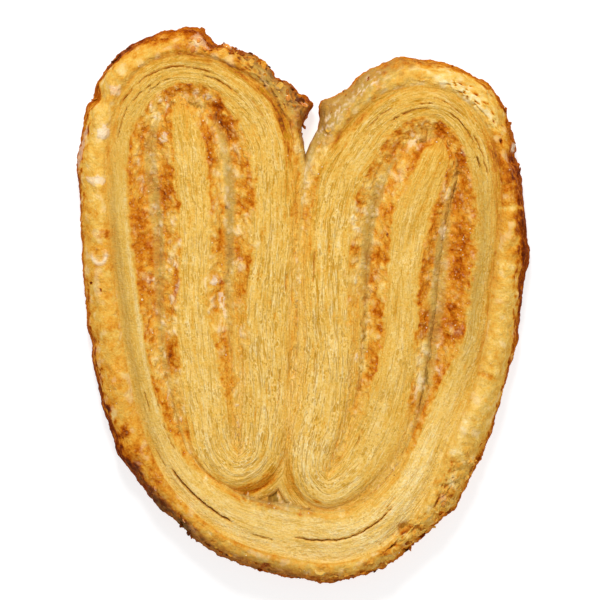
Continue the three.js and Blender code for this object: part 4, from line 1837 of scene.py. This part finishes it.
@dataclass
class Filling:
    """The dough and sugar that fill the grooves, inside the middle line of both lobes.

    Attributes:
        spans: where its grid runs from and to, in x and in y.
        cell: distance between its points.
        spread: how far it softens the bottoms of the grooves.
        bottom: height of its underside.
        sunk: height where it stays under the cut faces.
    """

    spans: tuple[tuple[float, float], ...] = ((-46.0, 46.0), (-57.0, 58.0))
    cell: float = 0.3
    spread: float = 0.85
    bottom: float = 2.6
    sunk: float = 9.2

    def _inside(self, x: Array, y: Array) -> Array:
        """Whether points lie inside the line through both lobes.

        Args:
            x: place from side to side.
            y: place from foot to lobes.

        Returns:
            Whether each point is inside.
        """
        corners = [row[:2] for row in (*LEFT_LOBE, *RIGHT_LOBE, RIGHT_ARM[0], LEFT_ARM[-2])]
        inside = np.zeros(x.shape, bool)
        for (x0, y0), (x1, y1) in zip(corners, corners[1:] + corners[:1]):
            if y0 == y1:
                continue
            crosses = (y0 > y) != (y1 > y)
            inside ^= crosses & (x < (x1 - x0) * (y - y0) / (y1 - y0) + x0)
        return inside

    def build(self, ground: Ground, baker: Baker) -> Piece:
        """Builds it from a grid whose outside is cut away and whose edge is pulled down and closed.

        Args:
            ground: the strip's upper surface.
            baker: for the caramel.

        Returns:
            The piece.
        """
        x, y = (np.arange(*span, self.cell) for span in self.spans)
        layers = ground.raster(self.cell, x, y)
        known = np.maximum(soften(np.minimum(layers["count"], 1), 1.5), 1e-3)
        bake, dusk = (soften(layers[name] * (layers["count"] > 0), 1.5) / known for name in ("bake", "dusk"))
        raw = np.maximum(layers["height"], self.sunk)
        height = soften(raw, self.spread / self.cell)
        across, down = np.meshgrid(x, y)
        lumps, browner, white = baker.caramel(across, down)
        sugared = smooth(bake, 0.38, 0.52)
        gap, luck = baker.noise.cells(across / 1.5 + 40, down / 2.1)
        pit = smooth(-gap, -0.34, -0.12) * smooth(luck, 0.62, 0.7)
        shows = smooth(-height, -12.6, -12.1)
        valley = soften(raw, 1.2 / self.cell) - soften(raw, 0.45 / self.cell)
        ragged = baker.noise.layered(across, down / 2.6, 52.0)
        shaded_slit = smooth(valley, 0.02, 0.13) * smooth(ragged, -0.35, 0.25)
        pit = np.maximum(pit, 0.8 * shaded_slit)
        height = blend(self.sunk, height - 0.05 + (0.4 + 0.6 * sugared) * lumps - 0.8 * pit, shows)
        # The pits and the lowest line are painted browner and duller, and the line darker still: painted
        # shade in them.
        values = {
            "bake": np.clip(bake + 0.6 * browner + 0.12 * pit, 0, 1),
            "glaze": np.clip(white * (1 - shaded_slit), 0, 1),
            "dusk": np.clip(0.9 * dusk + 0.1 * pit, 0, 1),
            "shaded_slit": np.clip(shaded_slit, 0, 1),
            "gloss": 0.7 * sugared,
            "grain": np.stack([down, across, 0 * down], axis=-1),
        }
        piece = laid_grid("groove_filling", np.stack([across, down, height], axis=-1), values)
        self._close(piece, ~self._inside(across, down))
        return piece

    def _close(self, piece: Piece, outside: Array) -> None:
        """Cuts away the points outside, pulls the edge down and closes the underside.

        Args:
            piece: the grid.
            outside: whether each point goes.
        """
        bpy.ops.object.mode_set(mode="EDIT")
        bpy.ops.mesh.select_all(action="DESELECT")
        bpy.ops.mesh.select_mode(type="VERT")
        bpy.ops.object.mode_set(mode="OBJECT")
        piece.data.vertices.foreach_set("select", outside.ravel())
        bpy.ops.object.mode_set(mode="EDIT")
        bpy.ops.mesh.delete(type="VERT")
        bpy.ops.mesh.select_all(action="SELECT")
        bpy.ops.mesh.region_to_loop()
        bpy.ops.mesh.extrude_edges_move(TRANSFORM_OT_translate={"value": (0, 0, -self.bottom * MM)})
        bpy.ops.transform.resize(value=(1, 1, 0), center_override=(0, 0, self.bottom * MM))
        bpy.ops.mesh.edge_face_add()
        bpy.ops.object.mode_set(mode="OBJECT")
        edited()
        bpy.ops.object.shade_smooth_by_angle(angle=math.radians(70))


@dataclass
class Pattern:
    """One small shape, ready to be copied.

    Attributes:
        points: its points.
        faces: the points of each face.
    """

    points: Array
    faces: list[list[int]]

    @classmethod
    def take(cls, model: Piece) -> "Pattern":
        """Takes the shape of a modelled object, and puts the model away.

        Args:
            model: the object.

        Returns:
            Its shape.
        """
        points = np.array([tuple(vertex.co) for vertex in model.data.vertices])
        faces = [list(face.vertices) for face in model.data.polygons]
        mesh = model.data
        bpy.data.objects.remove(model)
        bpy.data.meshes.remove(mesh)
        return cls(points, faces)

    def lay(
        self, name: str, frames: Array, places: Array, values: dict[str, Array]
    ) -> Piece:
        """Joins copies of the shape into one piece.

        Args:
            name: name of the piece.
            frames: the turned and scaled axes of each copy, (copies, 3, 3), an axis to a row.
            places: where each copy goes.
            values: values that each copy carries.

        Returns:
            The piece.
        """
        corners = len(self.points)
        points = np.einsum("pk,nkj->npj", self.points, frames) + places[:, None]
        mesh = bpy.data.meshes.new(name)
        faces = [
            [corner + n * corners for corner in face] for n in range(len(places)) for face in self.faces
        ]
        mesh.from_pydata((points.reshape(-1, 3) * MM).tolist(), [], faces)
        piece = bpy.data.objects.new(name, mesh)
        bpy.context.scene.collection.objects.link(piece)
        keep_values(piece, {key: np.repeat(value, corners, axis=0) for key, value in values.items()})
        bpy.ops.object.select_all(action="DESELECT")
        piece.select_set(True)
        bpy.context.view_layer.objects.active = piece
        edited()
        return piece


def turned_frames(
    draw: np.random.Generator, normals: Array, sizes: Array, tilt: float
) -> Array:
    """Axes for copies that lie on a surface, each turned its own way.

    Args:
        draw: seeded random numbers.
        normals: the surface's normal at each.
        sizes: size of each along its three axes.
        tilt: how far they lean out of the surface.

    Returns:
        The axes, an axis to a row.
    """
    up = normals + tilt * draw.normal(size=normals.shape)
    up /= np.linalg.norm(up, axis=1, keepdims=True)
    side = np.cross(up, draw.normal(size=normals.shape))
    side /= np.linalg.norm(side, axis=1, keepdims=True)
    return np.stack([side, np.cross(up, side), up], axis=1) * sizes[:, :, None]


@dataclass
class SugarGrains:
    """Grains of sugar that stayed whole on the caramel and along the rim.

    Attributes:
        seed: of the random numbers.
        count: number of them.
        smallest: smallest half size.
        largest: largest half size.
    """

    seed: int = 411
    count: int = 160
    smallest: float = 0.07
    largest: float = 0.2

    def build(self, ground: Ground) -> Piece:
        """Models one crystal with broken edges and lays its copies on the ground.

        Args:
            ground: the strip's upper surface.

        Returns:
            The piece.
        """
        modelled(bpy.ops.mesh.primitive_cube_add, size=2)
        edited(partial(bpy.ops.mesh.bevel, offset=0.5, segments=1, affect="EDGES"))
        crystal = Pattern.take(bpy.context.object)
        draw = np.random.default_rng(self.seed)
        height = ground.place[:, 2]
        caramel = smooth(ground.bake, 0.45, 0.6)
        sugared = caramel * (ground.rim < 0.5) * (height > 9.5)
        sugared = sugared + 0.25 * (ground.rim > 0.5) * (ground.outer_share > 0.1) * (height > 10.5)
        sugared = sugared + caramel * ((ground.rim > 0.5) & (ground.knot > 10.2))
        chosen = draw.choice(len(sugared), self.count, replace=False, p=sugared / sugared.sum())
        half = self.smallest + (self.largest - self.smallest) * draw.random(self.count) ** 3
        sizes = half[:, None] * (0.8 + 0.5 * draw.random((self.count, 3)))
        frames = turned_frames(draw, ground.normal[chosen], sizes, 0.8)
        return crystal.lay("sugar_grains", frames, ground.place[chosen], {})


@dataclass
class MeltedSugar:
    """Beads and pools of melted sugar set hard on the crust.

    Attributes:
        seed: of the random numbers.
        drops: (place along, place across, half length, half width, height) of each.
    """

    seed: int = 77
    drops: tuple[tuple[float, float, float, float, float], ...] = (
        (191.3, -6.9, 1.25, 1.15, 0.9),
        (194.8, -5.4, 0.8, 0.6, 0.35),
        (195.9, -6.6, 1.0, 0.5, 0.35),
        (196.8, -4.6, 0.6, 0.9, 0.3),
        (197.3, -6.9, 0.5, 0.5, 0.3),
        (188.6, -8.0, 0.7, 0.5, 0.35),
        (174.6, -9.4, 1.1, 0.8, 0.4),
        (177.2, -8.0, 0.8, 0.6, 0.35),
        (368.2, -8.4, 0.8, 0.5, 0.35),
        (303.2, -6.4, 0.7, 0.5, 0.3),
        (311.6, -7.2, 0.8, 0.5, 0.3),
    )

    def build(self, ground: Ground) -> Piece:
        """Models one drop and lays its copies on the ground.

        Args:
            ground: the strip's upper surface.

        Returns:
            The piece.
        """
        drop = Pattern.take(modelled(bpy.ops.mesh.primitive_ico_sphere_add, subdivisions=4, radius=1))
        draw = np.random.default_rng(self.seed)
        spots = [ground.spot(along, across) for along, across, *_ in self.drops]
        places, normals = (np.array(part) for part in zip(*spots))
        sizes = np.array([size for _, _, *size in self.drops])
        piece = drop.lay("melted_sugar", turned_frames(draw, normals, sizes, 0.05), places, {})
        bpy.ops.object.shade_smooth()
        return piece


@dataclass
class CrustFlakes:
    """Thin leaves of crust that stand off the ragged parts of the rim.

    Attributes:
        seed: of the random numbers.
        count: number of them.
        thickness: of a leaf as long as its own size.
    """

    seed: int = 903
    count: int = 260
    thickness: float = 0.22

    def build(self, ground: Ground) -> Piece:
        """Models one curled leaf with thickness and lays its copies on the ground.

        Args:
            ground: the strip's upper surface.

        Returns:
            The piece.
        """
        model = modelled(
            bpy.ops.mesh.primitive_grid_add, x_subdivisions=4, y_subdivisions=3, size=2, calc_uvs=False
        )
        for vertex in model.data.vertices:
            x, y, _ = vertex.co
            narrow = 1 - 0.35 * x * x + 0.15 * math.sin(5 * x + 2)
            vertex.co = (x * (1 - 0.3 * y * y), y * narrow, 0.5 * x * x + 0.18 * math.sin(3 * y + x))
        solid = model.modifiers.new("thickness", "SOLIDIFY")
        solid.thickness = self.thickness
        bpy.ops.object.modifier_apply(modifier=solid.name)
        leaf = Pattern.take(model)
        draw = np.random.default_rng(self.seed)
        rugged = profile(ground.along, RUGGEDNESS)
        likely = (ground.rim > 0.5) * smooth(ground.outer_share, 0.35, 0.8) * smooth(rugged, 0.35, 0.9)
        likely = likely * (ground.place[:, 2] > 6.0)
        chosen = draw.choice(len(likely), self.count, replace=False, p=likely / likely.sum())
        length = 0.45 + 0.8 * draw.random(self.count) ** 2
        sizes = np.stack([length, length * (0.5 + 0.4 * draw.random(self.count)), 0.55 * length], axis=1)
        frames = turned_frames(draw, ground.normal[chosen], sizes, 0.3)
        still = np.zeros((self.count, 1))
        values = {
            "bake": np.clip(ground.bake[chosen] + 0.08 * draw.normal(size=self.count), 0.3, 1)[:, None],
            "glaze": still,
            "dusk": still + 0.1,
            "gloss": still + 0.3,
            "grain": ground.place[chosen],
        }
        piece = leaf.lay("crust_flakes", frames, ground.place[chosen], values)
        bpy.ops.object.shade_smooth_by_angle(angle=math.radians(50))
        return piece


@dataclass
class Studio:
    """Pale floor, soft light and the camera straight above.

    Attributes:
        middle: what the camera looks at, from above.
        frame_width: width that the camera takes in, at the focus.
        focus: height of the surfaces that count.
        height: of the camera.
        glow: strength of the light all round.
        lamps: (name, place, size, power) of each soft lamp.
    """

    middle: tuple[float, float] = (-0.54, 1.41)
    frame_width: float = 141.0
    focus: float = 9.0
    height: float = 1600.0
    glow: float = 0.44
    lamps: tuple[tuple[str, tuple[float, float, float], float, float], ...] = (
        ("key", (-0.04, 0.36, 0.54), 0.16, 2.8),
        ("fill", (0.3, -0.4, 0.7), 0.6, 0.7),
    )

    def floor(self) -> None:
        """Lays the floor just under the pastry."""
        floor = modelled(bpy.ops.mesh.primitive_plane_add, size=3.0, location=(0, 0, -0.0003))
        floor.name = "floor"
        floor.data.materials.append(FloorFinish().build())

    def light(self) -> None:
        """Sets the even light all round and the soft lamps."""
        world = bpy.data.worlds.new("studio")
        world.use_nodes = True
        background = world.node_tree.nodes["Background"]
        background.inputs["Color"].default_value = (1.0, 1.0, 1.0, 1.0)
        background.inputs["Strength"].default_value = self.glow
        bpy.context.scene.world = world
        for name, place, size, power in self.lamps:
            lamp = modelled(bpy.ops.object.light_add, type="AREA", location=place)
            lamp.name = name
            lamp.data.shape = "DISK"
            lamp.data.size = size
            lamp.data.energy = power
            x, y, z = place
            lamp.rotation_euler = (math.acos(z / math.hypot(x, y, z)), 0, math.atan2(y, x) + 0.5 * math.pi)

    def camera(self) -> None:
        """Hangs the camera over the pastry."""
        x, y = self.middle
        camera = modelled(
            bpy.ops.object.camera_add, location=(x * MM, y * MM, self.height * MM), rotation=(0, 0, 0)
        )
        camera.name = "overhead"
        camera.data.sensor_width = 36.0
        camera.data.lens = 36.0 * (self.height - self.focus) / self.frame_width
        camera.data.clip_start = 0.05
        camera.data.clip_end = 20.0
        bpy.context.scene.camera = camera


def main() -> None:
    """Builds the studio, then the pastry and its sugar, in order."""
    logging.basicConfig(level=logging.INFO, format="%(name)s: %(message)s")
    bpy.context.scene.view_settings.view_transform = "Standard"
    studio = Studio()
    studio.floor()
    studio.light()
    studio.camera()

    pastry = PastryFinish().build()
    line, section, baker = StripLine(), Section(), Baker()
    lobes = FIRST_OF_LOBES
    middle = lobes + len(LEFT_LOBE)
    arm = LAST_OF_LOBES + 1
    tongue = arm + len(RIGHT_ARM)
    plies = [
        Ply("left_tongue", 0, len(LEFT_TONGUE)),
        Ply("left_arm", len(LEFT_TONGUE), lobes),
        Ply("left_lobe_top", lobes, lobes + 8, walled=True),
        Ply("left_lobe_side", lobes + 8, middle, walled=True),
        Ply("right_lobe_side", middle, middle + 7, walled=True),
        Ply("right_lobe_top", middle + 7, arm, walled=True),
        Ply("right_arm", arm, tongue),
        Ply("right_tongue", tongue, len(STATIONS) - 1),
    ]
    for ply in plies:
        dress(ply.build(line, section, baker), pastry)
    ground = Ground(plies)
    dress(Filling().build(ground, baker), pastry)
    dress(CrustFlakes().build(ground), pastry)
    white = SugarFinish("white_sugar", (252, 236, 204), (246, 206, 140))
    dress(SugarGrains().build(ground), white.build())
    amber = SugarFinish("amber_sugar", (232, 160, 60), (206, 112, 22), roughness=0.12)
    dress(MeltedSugar().build(ground), amber.build())


if __name__ == "__main__":
    main()
